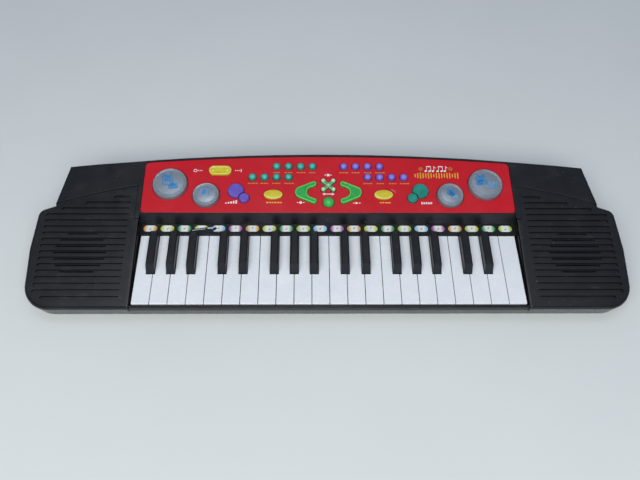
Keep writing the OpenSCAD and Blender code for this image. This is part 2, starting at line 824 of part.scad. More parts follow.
module battery_contacts() {
    span = bay_w / cells;
    t = contact_plate[1];
    for (i = [0:cells - 1]) translate([-bay_w / 2 + (i + 0.5) * span, bay_front_y + bay_l / 2, 10]) {
        for (m = [-1, 1]) translate([0, m * (bay_l / 2 - t / 2 - 0.05), 0])
            cube(contact_plate, center = true);
        rotate(i % 2 == 0 ? 0 : 180) translate([0, t - bay_l / 2, 0]) rotate([-90, 0, 0])
            cylinder(h = contact_spring_l, r1 = 3.4, r2 = 2);
    }
}

module metal_hardware() {
    color([0.7, 0.7, 0.68]) {
        for (p = CASE_BOSSES) at(p)
            screw(screw_recess_h - screw_head_h, screw_head_r, screw_head_h, screw_l, shank_r);
        at(door_ear_at) screw(floor_h + 0.05, door_screw_head_r, 0.7, door_boss_h - 1, door_screw_r);
        battery_contacts();
    }
}

// ---- Keys ----

// Side profile drawn in Y and Z, spread along X
module side_profile(points, x0, x1) {
    translate([x0, 0, 0]) rotate([90, 0, 90]) linear_extrude(x1 - x0) polygon(points);
}

// Cross-section drawn in X and Z, spread along Y
module cross_profile(points, y0, y1) {
    translate([0, y1, 0]) rotate([90, 0, 0]) linear_extrude(y1 - y0) polygon(points);
}

// The part of a key under the label shelf, with a hook that snaps on the bar
module key_arm(x) {
    difference() {
        union() {
            translate([x - arm_w / 2, white_rear_y - arm_overlap, key_base_h])
                cube([arm_w, pivot_y - white_rear_y + arm_overlap, arm_top_h - key_base_h]);
            translate([x - arm_w / 2, pivot_y, pivot_z]) rotate([0, 90, 0]) cylinder(h = arm_w, r = hook_r);
        }
        translate([x - arm_w, pivot_y, pivot_z]) rotate([0, 90, 0])
            cylinder(h = 2 * arm_w, r = pivot_r + hook_clearance);
        translate([x - arm_w, pivot_y - hook_mouth / 2, pivot_z - 6]) cube([2 * arm_w, hook_mouth, 6]);
    }
}

module white_plan(i, inset) {
    x0 = joint_x(i - 1) + key_gap / 2 + inset;
    x1 = joint_x(i) - key_gap / 2 - inset;
    step_y = black_front_y - key_gap - inset;
    translate([x0, key_front_y + inset]) square([x1 - x0, step_y - key_front_y - inset]);
    translate([white_left(i) + inset, key_front_y + inset])
        square([white_right(i) - white_left(i) - 2 * inset, white_rear_y - key_front_y - 2 * inset]);
}

module white_key(i) {
    e = key_edge;
    x0 = joint_x(i - 1) + key_gap / 2;
    x1 = joint_x(i) - key_gap / 2;
    arm_x = (white_left(i) + white_right(i)) / 2;
    color([0.87, 0.9, 0.93]) {
        difference() {
            intersection() {
                translate([0, 0, key_base_h]) linear_extrude(front_h - key_base_h) white_plan(i, 0);
                side_profile([[key_front_y, 0], [white_rear_y, 0], [white_rear_y, front_h],
                    [key_front_y + e, front_h], [key_front_y, front_h - e]], x0 - 1, x1 + 1);
            }
            linear_extrude(front_h - key_skin) white_plan(i, key_wall);
        }
        intersection() {
            translate([0, 0, key_base_h]) linear_extrude(front_h - key_base_h - plunger_inset)
                white_plan(i, plunger_inset);
            translate([x0 - 1, plunger_y - plunger_t / 2, 0]) cube([x1 - x0 + 2, plunger_t, BIG / 8]);
        }
        key_arm(arm_x);
    }
}

module black_key(b) {
    x = black_x(b);
    top_z = front_h + black_rise;
    w = black_w / 2;
    t = black_top_w / 2;
    e = 0.9;
    color([0.09, 0.09, 0.1]) {
        difference() {
            intersection() {
                translate([x, 0, 0]) cross_profile([[-w, key_base_h], [w, key_base_h], [w, front_h],
                    [t + 0.2, top_z - e], [t - e, top_z], [e - t, top_z], [-t - 0.2, top_z - e],
                    [-w, front_h]], black_front_y, white_rear_y);
                side_profile([[black_front_y, 0], [white_rear_y, 0], [white_rear_y, top_z],
                    [black_front_y + black_slope, top_z], [black_front_y, front_h + 0.6]],
                    x - w - 1, x + w + 1);
            }
            translate([x - t + key_wall, black_front_y + black_slope, 0])
                cube([2 * (t - key_wall), black_len - 2 * black_slope, top_z - black_skin]);
        }
        translate([x - w + plunger_inset, plunger_y - plunger_t / 2, key_base_h])
            cube([2 * (w - plunger_inset), plunger_t, black_plunger_h]);
        key_arm(x);
    }
}

// ---- Nodes ----

top_case();
bottom_case();
battery_door();
control_panel();
circuit_boards();
speakers();
contact_rubber();
metal_hardware();
pad(pad_large_r, [-pad_large_at[0], pad_large_at[1]]);  // pad_large_left
pad(pad_large_r, pad_large_at);  // pad_large_right
pad(pad_small_r, [-pad_small_at[0], pad_small_at[1]]);  // pad_small_left
pad(pad_small_r, pad_small_at);  // pad_small_right
power_switch();
rocker(-1, [0.4, 0.36, 0.72]);  // volume_rocker
rocker(1, [0.12, 0.58, 0.52]);  // tempo_rocker
button_bank(-1, [0.12, 0.58, 0.52]);  // tone_buttons
button_bank(1, [0.4, 0.36, 0.72]);  // rhythm_buttons
oval_button(-1);  // oval_button_left
oval_button(1);  // oval_button_right
arrow_button(-1);  // arrow_button_left
arrow_button(1);  // arrow_button_right
cross_button();
round_button();
for (i = [0:white_keys - 1]) white_key(i);
for (i = [0:14]) black_key(i);
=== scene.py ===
"""Looks of a toy electronic keyboard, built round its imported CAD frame. Metres, +X along the keys, +Z up."""
import json
import math
import random

import bmesh
import bpy
from mathutils import Matrix, Vector


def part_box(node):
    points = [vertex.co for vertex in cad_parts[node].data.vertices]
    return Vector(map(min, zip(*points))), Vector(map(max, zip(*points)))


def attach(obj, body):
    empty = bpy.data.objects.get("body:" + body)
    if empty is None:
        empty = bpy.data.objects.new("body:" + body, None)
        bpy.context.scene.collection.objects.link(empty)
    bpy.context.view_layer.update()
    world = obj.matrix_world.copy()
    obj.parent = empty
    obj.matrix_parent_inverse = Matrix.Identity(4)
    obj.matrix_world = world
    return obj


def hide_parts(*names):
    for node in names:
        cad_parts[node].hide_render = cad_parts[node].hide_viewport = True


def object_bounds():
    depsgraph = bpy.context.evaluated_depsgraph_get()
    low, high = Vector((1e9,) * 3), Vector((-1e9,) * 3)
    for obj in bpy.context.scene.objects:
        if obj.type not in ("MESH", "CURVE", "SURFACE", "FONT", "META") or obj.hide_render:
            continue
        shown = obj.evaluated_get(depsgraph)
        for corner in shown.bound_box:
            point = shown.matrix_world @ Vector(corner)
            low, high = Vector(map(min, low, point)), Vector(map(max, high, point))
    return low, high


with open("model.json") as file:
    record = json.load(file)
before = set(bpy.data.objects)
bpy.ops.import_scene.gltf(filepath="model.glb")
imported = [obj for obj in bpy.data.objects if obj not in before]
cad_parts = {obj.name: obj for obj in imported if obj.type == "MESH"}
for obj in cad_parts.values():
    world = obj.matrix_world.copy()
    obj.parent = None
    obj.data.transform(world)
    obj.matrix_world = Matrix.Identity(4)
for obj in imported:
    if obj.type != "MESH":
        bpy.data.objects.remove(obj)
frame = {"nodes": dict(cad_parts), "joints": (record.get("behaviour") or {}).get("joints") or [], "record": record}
cad_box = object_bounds()

MM = 0.001
WHITE_KEYS = sorted(n for n in frame["nodes"] if n.startswith("white_key"))
BLACK_KEYS = sorted(n for n in frame["nodes"] if n.startswith("black_key"))
BODY_OF = {n: b for b, nodes in frame["record"]["behaviour"]["bodies"].items() for n in nodes}
SLOT_OF = {n: o.data.materials[0].name for n, o in frame["nodes"].items()}

# The slope frame: X along the keys, Y up the sloping top, Z out of it, from the front edge of the wings
press = next(j for j in frame["joints"] if j["name"] == "round_button_press")
slope_normal = -Vector(press["axis"]).normalized()
slope_up = Vector((0, slope_normal.z, -slope_normal.y))
front_y = cad_box[0].y
key_top_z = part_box(WHITE_KEYS[0])[1].z
SLOPE = Matrix.Identity(4)
for row in range(3):
    SLOPE[row][0] = (1, 0, 0)[row]
    SLOPE[row][1] = slope_up[row]
    SLOPE[row][2] = slope_normal[row]
    SLOPE[row][3] = (0, front_y, key_top_z)[row]
TO_SLOPE = SLOPE.inverted()


def slope_box(node):
    """Lowest and highest corner of a CAD node, measured in the slope frame."""
    points = [TO_SLOPE @ v.co for v in frame["nodes"][node].data.vertices]
    low = Vector([min(p[i] for p in points) for i in range(3)])
    high = Vector([max(p[i] for p in points) for i in range(3)])
    return low, high


def slope_middle(node):
    """The middle of a CAD node on the slope, as (x, s) in millimetres."""
    low, high = slope_box(node)
    return (low.x + high.x) / 2 / MM, (low.y + high.y) / 2 / MM


# Millimetres on the slope, where s is the distance up it: the panel's face, and the rows of small buttons as
# (x of the first one, s)
PANEL_TOP = slope_box("control_panel")[1].z / MM
BUTTON_PITCH = 11.62
BUTTON_ROWS = ((15.2, 146.3), (38.3, 134.1))
BUTTONS_IN_ROW = 4
PADS = ("pad_large_left", "pad_large_right", "pad_small_left", "pad_small_right")
WELD = 0.002 * MM


def bank_places(side):
    """The (x, s) middles of the small buttons on one side, -1 for left and 1 for right."""
    return [(side * (first_x + i * BUTTON_PITCH), s)
            for first_x, s in BUTTON_ROWS for i in range(BUTTONS_IN_ROW)]


# ---- Camera ----

# Fitted to the photograph's key grid. The place is in millimetres, the turn is yaw, pitch and roll in degrees
CAMERA_PLACE = (-20.37, -350.3, 560.5)
CAMERA_TURN = (2.031, 57.615, -1.755)
CAMERA_LENS = 38.25
CAMERA_FILM = 36


def add_camera():
    """The photograph's viewpoint: above the front edge, looking down at the keys."""
    yaw, pitch, roll = (math.radians(a) for a in CAMERA_TURN)
    forward = Vector((math.sin(yaw) * math.cos(pitch), math.cos(yaw) * math.cos(pitch), -math.sin(pitch)))
    level = Vector((math.cos(yaw), -math.sin(yaw), 0))
    down = forward.cross(level)
    right = math.cos(roll) * level + math.sin(roll) * down
    below = -math.sin(roll) * level + math.cos(roll) * down
    data = bpy.data.cameras.new("camera")
    data.lens = CAMERA_LENS
    data.sensor_width = CAMERA_FILM
    camera = bpy.data.objects.new("camera", data)
    turn = Matrix((right, -below, -forward)).transposed().to_4x4()
    camera.matrix_world = Matrix.Translation(Vector(CAMERA_PLACE) * MM) @ turn
    bpy.context.scene.collection.objects.link(camera)
    bpy.context.scene.camera = camera


# ---- Materials ----

def srgb(red, green, blue):
    """A colour given as 0-255 values, made linear."""
    def channel(c):
        c /= 255
        return c / 12.92 if c <= 0.04045 else ((c + 0.055) / 1.055) ** 2.4
    return channel(red), channel(green), channel(blue), 1.0


def shade(colour, share):
    return [c * share for c in colour[:3]] + [1]


class Finish:
    """A node material under construction. Lengths in its patterns are millimetres."""

    def __init__(self, name, **constants):
        self.material = bpy.data.materials.new(name)
        self.material.use_nodes = True
        self.tree = self.material.node_tree
        self.shader = self.tree.nodes["Principled BSDF"]
        for socket, value in constants.items():
            self.shader.inputs[socket.replace("_", " ")].default_value = value
        place = self.add("ShaderNodeTexCoord").outputs["Object"]
        scale = self.add("ShaderNodeMapping", Vector=place)
        scale.inputs["Scale"].default_value = (1 / MM, 1 / MM, 1 / MM)
        self.place = scale.outputs["Vector"]

    def add(self, kind, **inputs):
        made = self.tree.nodes.new(kind)
        for name, value in inputs.items():
            self.feed(made.inputs[name.replace("_", " ")], value)
        return made

    def feed(self, socket, value):
        if isinstance(value, bpy.types.NodeSocket):
            self.tree.links.new(value, socket)
        else:
            socket.default_value = value

    def stretched(self, scale, turn=(0, 0, 0)):
        moved = self.add("ShaderNodeMapping", Vector=self.place)
        moved.inputs["Scale"].default_value = scale
        moved.inputs["Rotation"].default_value = [math.radians(a) for a in turn]
        return moved.outputs["Vector"]

    def noise(self, size, detail=3.0, place=None, roughness=0.55):
        """Soft noise whose features are about size millimetres across."""
        made = self.add("ShaderNodeTexNoise", Vector=place or self.place)
        made.inputs["Scale"].default_value = 1 / size
        made.inputs["Detail"].default_value = detail
        made.inputs["Roughness"].default_value = roughness
        return made.outputs["Fac"]

    def cells(self, size, feature="F1", place=None):
        made = self.add("ShaderNodeTexVoronoi", Vector=place or self.place)
        made.feature = feature
        made.inputs["Scale"].default_value = 1 / size
        return made

    def span(self, value, low, high, to_low=0.0, to_high=1.0):
        """value moved from low..high to to_low..to_high, and held inside that range."""
        made = self.add("ShaderNodeMapRange", Value=value)
        made.inputs["From Min"].default_value = low
        made.inputs["From Max"].default_value = high
        made.inputs["To Min"].default_value = to_low
        made.inputs["To Max"].default_value = to_high
        return made.outputs["Result"]

    def math(self, operation, a, b=0.0):
        made = self.add("ShaderNodeMath")
        made.operation = operation
        self.feed(made.inputs[0], a)
        self.feed(made.inputs[1], b)
        return made.outputs[0]

    def mix(self, amount, a, b):
        """Colour a with b mixed in by amount."""
        made = self.add("ShaderNodeMix")
        made.data_type = "RGBA"
        self.feed(made.inputs[0], amount)
        self.feed(made.inputs[6], a)
        self.feed(made.inputs[7], b)
        return made.outputs[2]

    def wash(self, tone, mask, strength, colour):
        """tone with colour laid over it where mask is, as strongly as strength."""
        return self.mix(self.math("MULTIPLY", mask, strength), tone, colour)

    def drift(self, size, detail, low=0.0, high=1.0):
        """Soft noise spread over low..high."""
        return self.span(self.noise(size, detail), 0.3, 0.7, low, high)

    def cell_value(self, cell):
        """A random value for each cell."""
        return self.add("ShaderNodeSeparateColor", Color=cell.outputs["Color"]).outputs[0]

    def attribute(self, name):
        """A value that the mesh carries."""
        made = self.add("ShaderNodeAttribute")
        made.attribute_name = name
        return made.outputs["Fac"]

    def specks(self, spacing, size, share):
        """Small scattered dots: one in each chosen cell of the given spacing."""
        cell = self.cells(spacing)
        chosen = self.span(self.cell_value(cell), 1 - share, 1 - share + 0.02)
        dot = self.span(cell.outputs["Distance"], size * 0.5 / spacing, size * 0.25 / spacing)
        return self.math("MULTIPLY", chosen, dot)

    def scratches(self, length, width, turn, share):
        """Fine straight marks, long in one direction and broken up by a soft mask."""
        lines = self.noise(1, 1.0, self.stretched((1 / length, 1 / width, 1 / width), turn), 0.3)
        thin = self.span(self.math("ABSOLUTE", self.math("SUBTRACT", lines, 0.5)), 0.012, 0.002)
        mask = self.span(self.noise(length * 0.8, 1.0), 1 - share, 1 - share + 0.08)
        return self.math("MULTIPLY", thin, mask)

    def bumps(self, *layers):
        """Joins (height, depth in millimetres) layers into one normal."""
        normal = None
        for height, depth in layers:
            made = self.add("ShaderNodeBump", Height=height)
            made.inputs["Distance"].default_value = depth * MM
            if normal is not None:
                self.tree.links.new(normal, made.inputs["Normal"])
            normal = made.outputs["Normal"]
        self.tree.links.new(normal, self.shader.inputs["Normal"])

    def paint(self, colour):
        self.feed(self.shader.inputs["Base Color"], colour)

    def rough(self, value):
        self.feed(self.shader.inputs["Roughness"], value)


def case_plastic(name, colour, roughness, dust):
    """Dark satin moulded plastic with a fine spark-eroded grain, handling scratches and dust."""
    f = Finish(name, Specular_IOR_Level=0.5)
    tone = f.mix(f.noise(38, 4), shade(colour, 0.8), shade(colour, 1.25))
    marks = f.math("MAXIMUM", f.scratches(26, 0.5, (0, 0, 24), 0.42), f.scratches(18, 0.4, (0, 0, -38), 0.4))
    grit = f.math("MAXIMUM", f.specks(7, 1.1, 0.3), f.specks(3.1, 0.5, 0.25))
    tone = f.wash(tone, marks, 0.3, srgb(120, 122, 122))
    f.paint(f.wash(tone, grit, dust, srgb(150, 150, 145)))
    film = f.drift(16, 5, roughness - 0.05, roughness + 0.08)
    f.rough(f.math("ADD", film, f.math("MULTIPLY", marks, 0.15)))
    f.bumps((f.noise(0.35, 2), 0.012), (f.noise(9, 2), 0.05), (marks, -0.01), (grit, 0.03))
    return f.material


def panel_sheet():
    """Red printed control panel: a smooth lacquered sheet with faint orange peel and hairline scuffs."""
    f = Finish("panel_red", Specular_IOR_Level=0.38, Coat_Weight=0.05, Coat_Roughness=0.12)
    tone = f.mix(f.noise(55, 3), srgb(184, 12, 28), srgb(200, 20, 37))
    tone = f.wash(tone, f.noise(2.2, 2), 0.12, srgb(140, 16, 30))
    marks = f.math("MAXIMUM", f.scratches(34, 0.45, (0, 0, 12), 0.42), f.scratches(20, 0.4, (0, 0, -50), 0.4))
    tone = f.wash(tone, marks, 0.22, srgb(225, 120, 125))
    f.paint(f.wash(tone, f.specks(9, 0.7, 0.2), 0.5, srgb(230, 200, 195)))
    f.rough(f.math("ADD", f.drift(20, 4, 0.27, 0.36), f.math("MULTIPLY", marks, 0.2)))
    f.bumps((f.noise(3.2, 1), 0.012), (marks, -0.01))
    return f.material


def gloss_plastic(name, dark, light, highlight_tone, roughness=0.3, wear=(235, 240, 245), **constants):
    """Coloured moulded plastic for buttons, with faint flow marks, scuffs and grime.
    Where the mesh marks a rim or a crown, up to 1, a paler tone is painted on as a highlight."""
    f = Finish(name, **constants)
    tone = f.mix(f.drift(7, 3), dark, light)
    # Painted highlight: a paler tone mixed in on rims and crowns, standing in for light caught there.
    pale = f.math("MULTIPLY", f.attribute("painted_highlight"), f.drift(2.5, 2, 0.75, 1))
    tone = f.mix(pale, tone, highlight_tone)
    marks = f.scratches(9, 0.3, (0, 0, 63), 0.45)
    tone = f.wash(tone, marks, 0.18, srgb(*wear))
    f.paint(f.wash(tone, f.specks(5, 0.45, 0.2), 0.4, shade(dark, 0.4)))
    f.rough(f.drift(5, 4, roughness - 0.05, roughness + 0.07))
    f.bumps((f.noise(0.5, 2), 0.006), (f.noise(6, 1), 0.03), (marks, -0.008))
    return f.material


def white_key_plastic():
    """Cool white key plastic, a little greyer where fingers go, with a few dark specks of dirt."""
    f = Finish("key_white", Subsurface_Weight=0.06, Subsurface_Scale=0.002)
    tone = f.mix(f.drift(30, 4), srgb(219, 226, 234), srgb(227, 232, 239))
    fingers = f.span(f.noise(12, 5, f.stretched((1, 0.35, 1))), 0.5, 0.75)
    tone = f.wash(tone, fingers, 0.07, srgb(178, 186, 196))
    dirt = f.math("MULTIPLY", f.specks(13, 0.9, 0.16), 0.75)
    f.paint(f.mix(dirt, tone, srgb(96, 86, 82)))
    f.rough(f.drift(14, 5, 0.2, 0.34))
    f.bumps((f.noise(0.6, 2), 0.004), (f.noise(11, 1), 0.03), (dirt, 0.02))
    return f.material


def silver_paint():
    """Silver lacquer on the drum pads: fine metal flake under a satin clear coat."""
    f = Finish("pad_silver", Metallic=0.55, Coat_Weight=0.2, Coat_Roughness=0.25)
    sparkle = f.cell_value(f.cells(0.32))
    tone = f.mix(sparkle, srgb(128, 140, 152), srgb(162, 172, 182))
    tone = f.wash(tone, f.span(f.noise(8, 4), 0.45, 0.7), 0.3, srgb(112, 122, 132))
    f.paint(f.wash(tone, f.scratches(12, 0.35, (0, 0, 30), 0.45), 0.4, srgb(215, 220, 224)))
    f.rough(f.drift(6, 4, 0.34, 0.46))
    f.bumps((sparkle, 0.004), (f.noise(5, 2), 0.03))
    return f.material


def printed_ink(name, colour, roughness=0.4):
    """Screen-printed ink, slightly uneven in cover."""
    f = Finish(name)
    f.paint(f.mix(f.span(f.noise(1.1, 3), 0.35, 0.75), colour, shade(colour, 0.72)))
    f.rough(f.drift(2.5, 3, roughness - 0.06, roughness + 0.08))
    f.bumps((f.noise(0.4, 2), 0.004))
    return f.material


def label_ink(name, colour):
    """A note label: coloured towards its ends and washed out to white where the mesh's middle rises to 1."""
    f = Finish(name)
    middle = f.span(f.attribute("middle"), 0.25, 0.8)
    tone = f.mix(f.drift(2, 3), colour, shade(colour, 0.85))
    f.paint(f.mix(middle, tone, srgb(224, 228, 226)))
    f.rough(f.drift(3, 3, 0.3, 0.42))
    f.bumps((f.noise(0.5, 2), 0.004))
    return f.material


def board_finish():
    """Green solder mask with faint copper tracks."""
    f = Finish("board_green", Coat_Weight=0.3)
    tracks = f.cells(5, "DISTANCE_TO_EDGE", f.stretched((1, 0.4, 1)))
    line = f.span(tracks.outputs["Distance"], 0.06, 0.03)
    tone = f.mix(f.noise(18, 3), srgb(20, 70, 38), srgb(30, 92, 50))
    f.paint(f.wash(tone, line, 0.6, srgb(70, 140, 80)))
    f.rough(f.drift(4, 3, 0.3, 0.45))
    f.bumps((line, 0.03), (f.noise(1.2, 2), 0.01))
    return f.material


def paper_cone():
    """Pressed paper pulp and dull steel of the loudspeakers."""
    f = Finish("speaker_dark")
    fibre = f.noise(0.8, 5, f.stretched((1, 0.3, 1)))
    f.paint(f.mix(fibre, srgb(26, 26, 27), srgb(58, 57, 55)))
    f.rough(f.drift(3, 3, 0.7, 0.9))
    f.bumps((fibre, 0.06))
    return f.material


def dome_rubber():
    """Grey silicone rubber of the contact sheets."""
    f = Finish("dome_rubber")
    f.paint(f.mix(f.noise(9, 4), srgb(70, 71, 74), srgb(96, 97, 99)))
    f.rough(f.drift(5, 4, 0.55, 0.75))
    f.bumps((f.noise(0.6, 3), 0.02))
    return f.material


def plated_steel():
    """Nickel-plated steel of the screws and battery springs, with turning marks."""
    f = Finish("steel", Metallic=1.0)
    turned = f.noise(0.7, 3, f.stretched((1, 1, 6)))
    f.paint(f.mix(turned, srgb(150, 150, 146), srgb(196, 196, 190)))
    f.rough(f.drift(2, 4, 0.24, 0.42))
    f.bumps((turned, 0.01))
    return f.material


def floor_cloth():
    """Pale plain floor with the faintest mottling."""
    f = Finish("floor_pale", Roughness=0.75)
    f.paint(f.mix(f.noise(240, 3), srgb(206, 212, 214), srgb(216, 221, 223)))
    f.bumps((f.noise(1.5, 3), 0.03))
    return f.material


# The dark and the light of each button colour, and the paler tone painted on its rims and crowns as a highlight
TEAL = srgb(14, 118, 108), srgb(26, 142, 128), srgb(74, 192, 178)
PURPLE = srgb(88, 72, 170), srgb(106, 90, 190), srgb(148, 134, 224)
YELLOW = srgb(192, 178, 34), srgb(208, 196, 52), srgb(226, 218, 110)
GREEN = srgb(34, 148, 66), srgb(48, 166, 80), srgb(104, 212, 92)
MINT = srgb(32, 138, 74), srgb(52, 162, 96), srgb(206, 238, 212)

MATERIAL = {
    "case_black": case_plastic("case_black", srgb(17, 18, 20), 0.32, 0.35),
    # The bottom shell's dark plastic is lightened to grey-green: a painted reflection of the pale floor on its
    # front wall.
    "base_black": case_plastic("base_black", srgb(70, 78, 76), 0.27, 0.25),
    "panel_red": panel_sheet(),
    "key_white": white_key_plastic(),
    "key_black": case_plastic("key_black", srgb(17, 18, 21), 0.38, 0.3),
    "pad_silver": silver_paint(),
    "button_teal": gloss_plastic("button_teal", *TEAL),
    "button_purple": gloss_plastic("button_purple", *PURPLE),
    "button_yellow": gloss_plastic("button_yellow", *YELLOW),
    "button_green": gloss_plastic("button_green", *GREEN, wear=(160, 240, 170)),
    "button_mint": gloss_plastic("button_mint", *MINT, roughness=0.24, Coat_Weight=0.5, Coat_Roughness=0.1),
    "board_green": board_finish(),
    "speaker_dark": paper_cone(),
    "dome_rubber": dome_rubber(),
    "steel": plated_steel(),
}


def dress(piece, material):
    piece.data.materials.clear()
    piece.data.materials.append(material)


# ---- Pieces with the CAD's form and rounded edges ----

SHARP_ANGLE = math.radians(24)
SMOOTH_ANGLE = math.radians(34)
MANY_CORNERS = 18


class Edge:
    """What a rounding rule may ask about an edge: places in both frames and the normals of its faces."""

    def __init__(self, edge):
        self.middle = (edge.verts[0].co + edge.verts[1].co) / 2
        self.slope = TO_SLOPE @ self.middle
        self.normals = [face.normal for face in edge.link_faces]
        self.up = [n.dot(slope_normal) for n in self.normals]
        self.low = min(v.co.z for face in edge.link_faces for v in face.verts)
        self.convex = edge.is_convex


def cut_across(bm, faces, point, normal):
    """Divides the faces where a plane crosses them."""
    parts = set(faces)
    for face in faces:
        parts.update(face.edges)
        parts.update(face.verts)
    bmesh.ops.bisect_plane(bm, geom=list(parts), plane_co=point, plane_no=normal, dist=10 * WELD)


def rounded_copy(node, name, width_of, segments=3, clamp=True, cuts=()):
    """A new piece with the node's form, riding in its place, each sharp edge rounded by width_of(edge)
    millimetres. Faces without a rounded edge are split into triangles, and faces of many corners are cut
    across at each x in cuts, so that each stays a simple outline."""
    bm = bmesh.new()
    bm.from_mesh(frame["nodes"][node].data)
    bmesh.ops.remove_doubles(bm, verts=bm.verts, dist=WELD)
    bmesh.ops.dissolve_limit(bm, angle_limit=math.radians(0.3), verts=bm.verts, edges=bm.edges)
    sharp = math.cos(SHARP_ANGLE)

    def width(edge):
        if len(edge.link_faces) != 2 or edge.link_faces[0].normal.dot(edge.link_faces[1].normal) >= sharp:
            return 0
        return width_of(Edge(edge)) * MM

    bm.normal_update()
    plain = [face for face in bm.faces
             if len(face.verts) > 4 and all(width(edge) <= 0 for edge in face.edges)]
    bmesh.ops.triangulate(bm, faces=plain)
    for x in cuts:
        many = [face for face in bm.faces if len(face.verts) > MANY_CORNERS and abs(face.normal.x) < 0.5]
        cut_across(bm, many, (x, 0, 0), (1, 0, 0))
    bm.normal_update()
    weight = bm.edges.layers.float.new("bevel_weight_edge")
    widths = {edge: width(edge) for edge in bm.edges}
    widest = max(widths.values())
    for edge, size in widths.items():
        edge[weight] = max(0, size) / widest
    mesh = bpy.data.meshes.new(name)
    bm.to_mesh(mesh)
    bm.free()
    piece = bpy.data.objects.new(name, mesh)
    bpy.context.scene.collection.objects.link(piece)
    bevel = piece.modifiers.new("round", "BEVEL")
    bevel.limit_method = "WEIGHT"
    bevel.width = widest
    bevel.segments = segments
    bevel.use_clamp_overlap = clamp
    bevel.miter_outer = "MITER_ARC"
    smooth(piece)
    place(piece, node)
    return piece


def smooth(piece):
    """Applies the piece's modifiers, then shades each corner by the faces around it that lie within
    SMOOTH_ANGLE of its own, the larger ones counting for more, so that flat faces stay flat between rounded
    edges."""
    graph = bpy.context.evaluated_depsgraph_get()
    done = bpy.data.meshes.new_from_object(piece.evaluated_get(graph))
    piece.modifiers.clear()
    old = piece.data
    piece.data = done
    bpy.data.meshes.remove(old)
    limit = math.cos(SMOOTH_ANGLE)
    around = {}
    for polygon in done.polygons:
        polygon.use_smooth = True
        for vertex in polygon.vertices:
            around.setdefault(vertex, []).append((polygon.normal.copy(), polygon.area))
    normals = [Vector((0, 0, 1))] * len(done.loops)
    for polygon in done.polygons:
        own = polygon.normal
        for loop, vertex in zip(polygon.loop_indices, polygon.vertices):
            total = own * 1e-12
            for normal, area in around[vertex]:
                if normal.dot(own) > limit:
                    total = total + normal * area
            normals[loop] = total.normalized()
    done.normals_split_custom_set(normals)


def place(piece, node):
    """The piece stands for the node: same body, same finish."""
    dress(piece, MATERIAL[SLOT_OF[node]])
    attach(piece, BODY_OF[node])
    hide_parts(node)


def every_corner(width):
    return lambda edge: width if edge.convex else 0


# Millimetres. The parting line is higher at the wings, so it has two heights. The cheeks flank the keys
PARTING_HEIGHTS = (18.5, 15.5)
SHELF_HEIGHT = 22.5
RAIL_HEIGHT = 21
FOOT_HEIGHT = 1.2
BLOCK_TOP = 1.4
SLOT_HALF_WIDTH = 177.5
SLOT_SIDE = 178
BLOCK_SIDE = 181.5
CHEEK_REAR = 14


def near(value, *others, within=0.1):
    return any(abs(value - other) < within for other in others)


def top_case_width(edge):
    """How far each edge of the top case is rounded: most at the wings' outside, least in the key slot."""
    x, height = abs(edge.slope.x) / MM, edge.slope.z / MM
    y, z = edge.middle.y / MM, edge.middle.z / MM
    up = max(edge.up) > 0.9
    outside = edge.low < (PARTING_HEIGHTS[0] + 0.2) * MM
    if not edge.convex:
        return 0
    if near(x, SLOT_HALF_WIDTH, within=0.3) and z > 20.5 and y < CHEEK_REAR:
        return 0.2
    if up and outside and x > SLOT_SIDE:
        return 2.6
    if up and near(height, BLOCK_TOP):
        if x < SLOT_SIDE and y < CHEEK_REAR:
            return 0.6
        if outside:
            return 2
        return 0.8 if x > BLOCK_SIDE else 0.2
    if near(z, SHELF_HEIGHT) and x < SLOT_SIDE:
        return 0.6
    if near(z, RAIL_HEIGHT) and x < SLOT_SIDE:
        return 0.7
    return 0.3 if outside and near(z, *PARTING_HEIGHTS) else 0


def bottom_case_width(edge):
    """How far each edge of the bottom case is rounded, in millimetres."""
    z = edge.middle.z / MM
    outside = min(abs(n.z) for n in edge.normals) < 0.3
    if not edge.convex or not outside:
        return 0
    if z < 0.05:
        return 0.8
    if near(z, FOOT_HEIGHT, within=0.05) and min(n.z for n in edge.normals) < -0.9:
        return 0.7
    return 0.3 if near(z, *PARTING_HEIGHTS, within=0.05) else 0


# ---- Forms drawn on the slope ----

def new_piece(name, bm, body, slot, material=None):
    """A piece from a finished bmesh, smooth-shaded, riding on a body."""
    bmesh.ops.recalc_face_normals(bm, faces=bm.faces)
    mesh = bpy.data.meshes.new(name)
    bm.to_mesh(mesh)
    bm.free()
    piece = bpy.data.objects.new(name, mesh)
    bpy.context.scene.collection.objects.link(piece)
    smooth(piece)
    dress(piece, material or MATERIAL[slot])
    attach(piece, body)
    return piece


LATHE_TURNS = 72
ARC_STEPS = 6
FLANGE_WIDTH = 1
FLANGE_DEPTH = 1.2


def add_lathe(bm, profile, x, s):
    """Adds the solid that the (radius, height) profile makes round an axis out of the slope. Millimetres."""
    rings = []
    for radius, height in profile:
        if radius == 0:
            rings.append([bm.verts.new(SLOPE @ Vector((x * MM, s * MM, height * MM)))])
            continue
        ring = []
        for i in range(LATHE_TURNS):
            a = 2 * math.pi * i / LATHE_TURNS
            point = Vector(((x + radius * math.cos(a)) * MM, (s + radius * math.sin(a)) * MM, height * MM))
            ring.append(bm.verts.new(SLOPE @ point))
        rings.append(ring)
    for lower, upper in zip(rings, rings[1:]):
        for i in range(LATHE_TURNS):
            j = (i + 1) % LATHE_TURNS
            corners = [lower[i % len(lower)], lower[j % len(lower)],
                       upper[j % len(upper)], upper[i % len(upper)]]
            bm.faces.new(list(dict.fromkeys(corners)))


def arc(centre, radius, start, end):
    """(radius, height) points along an arc, angles in degrees."""
    angles = [math.radians(start + (end - start) * i / ARC_STEPS) for i in range(ARC_STEPS + 1)]
    return [(centre[0] + radius * math.cos(a), centre[1] + radius * math.sin(a)) for a in angles]


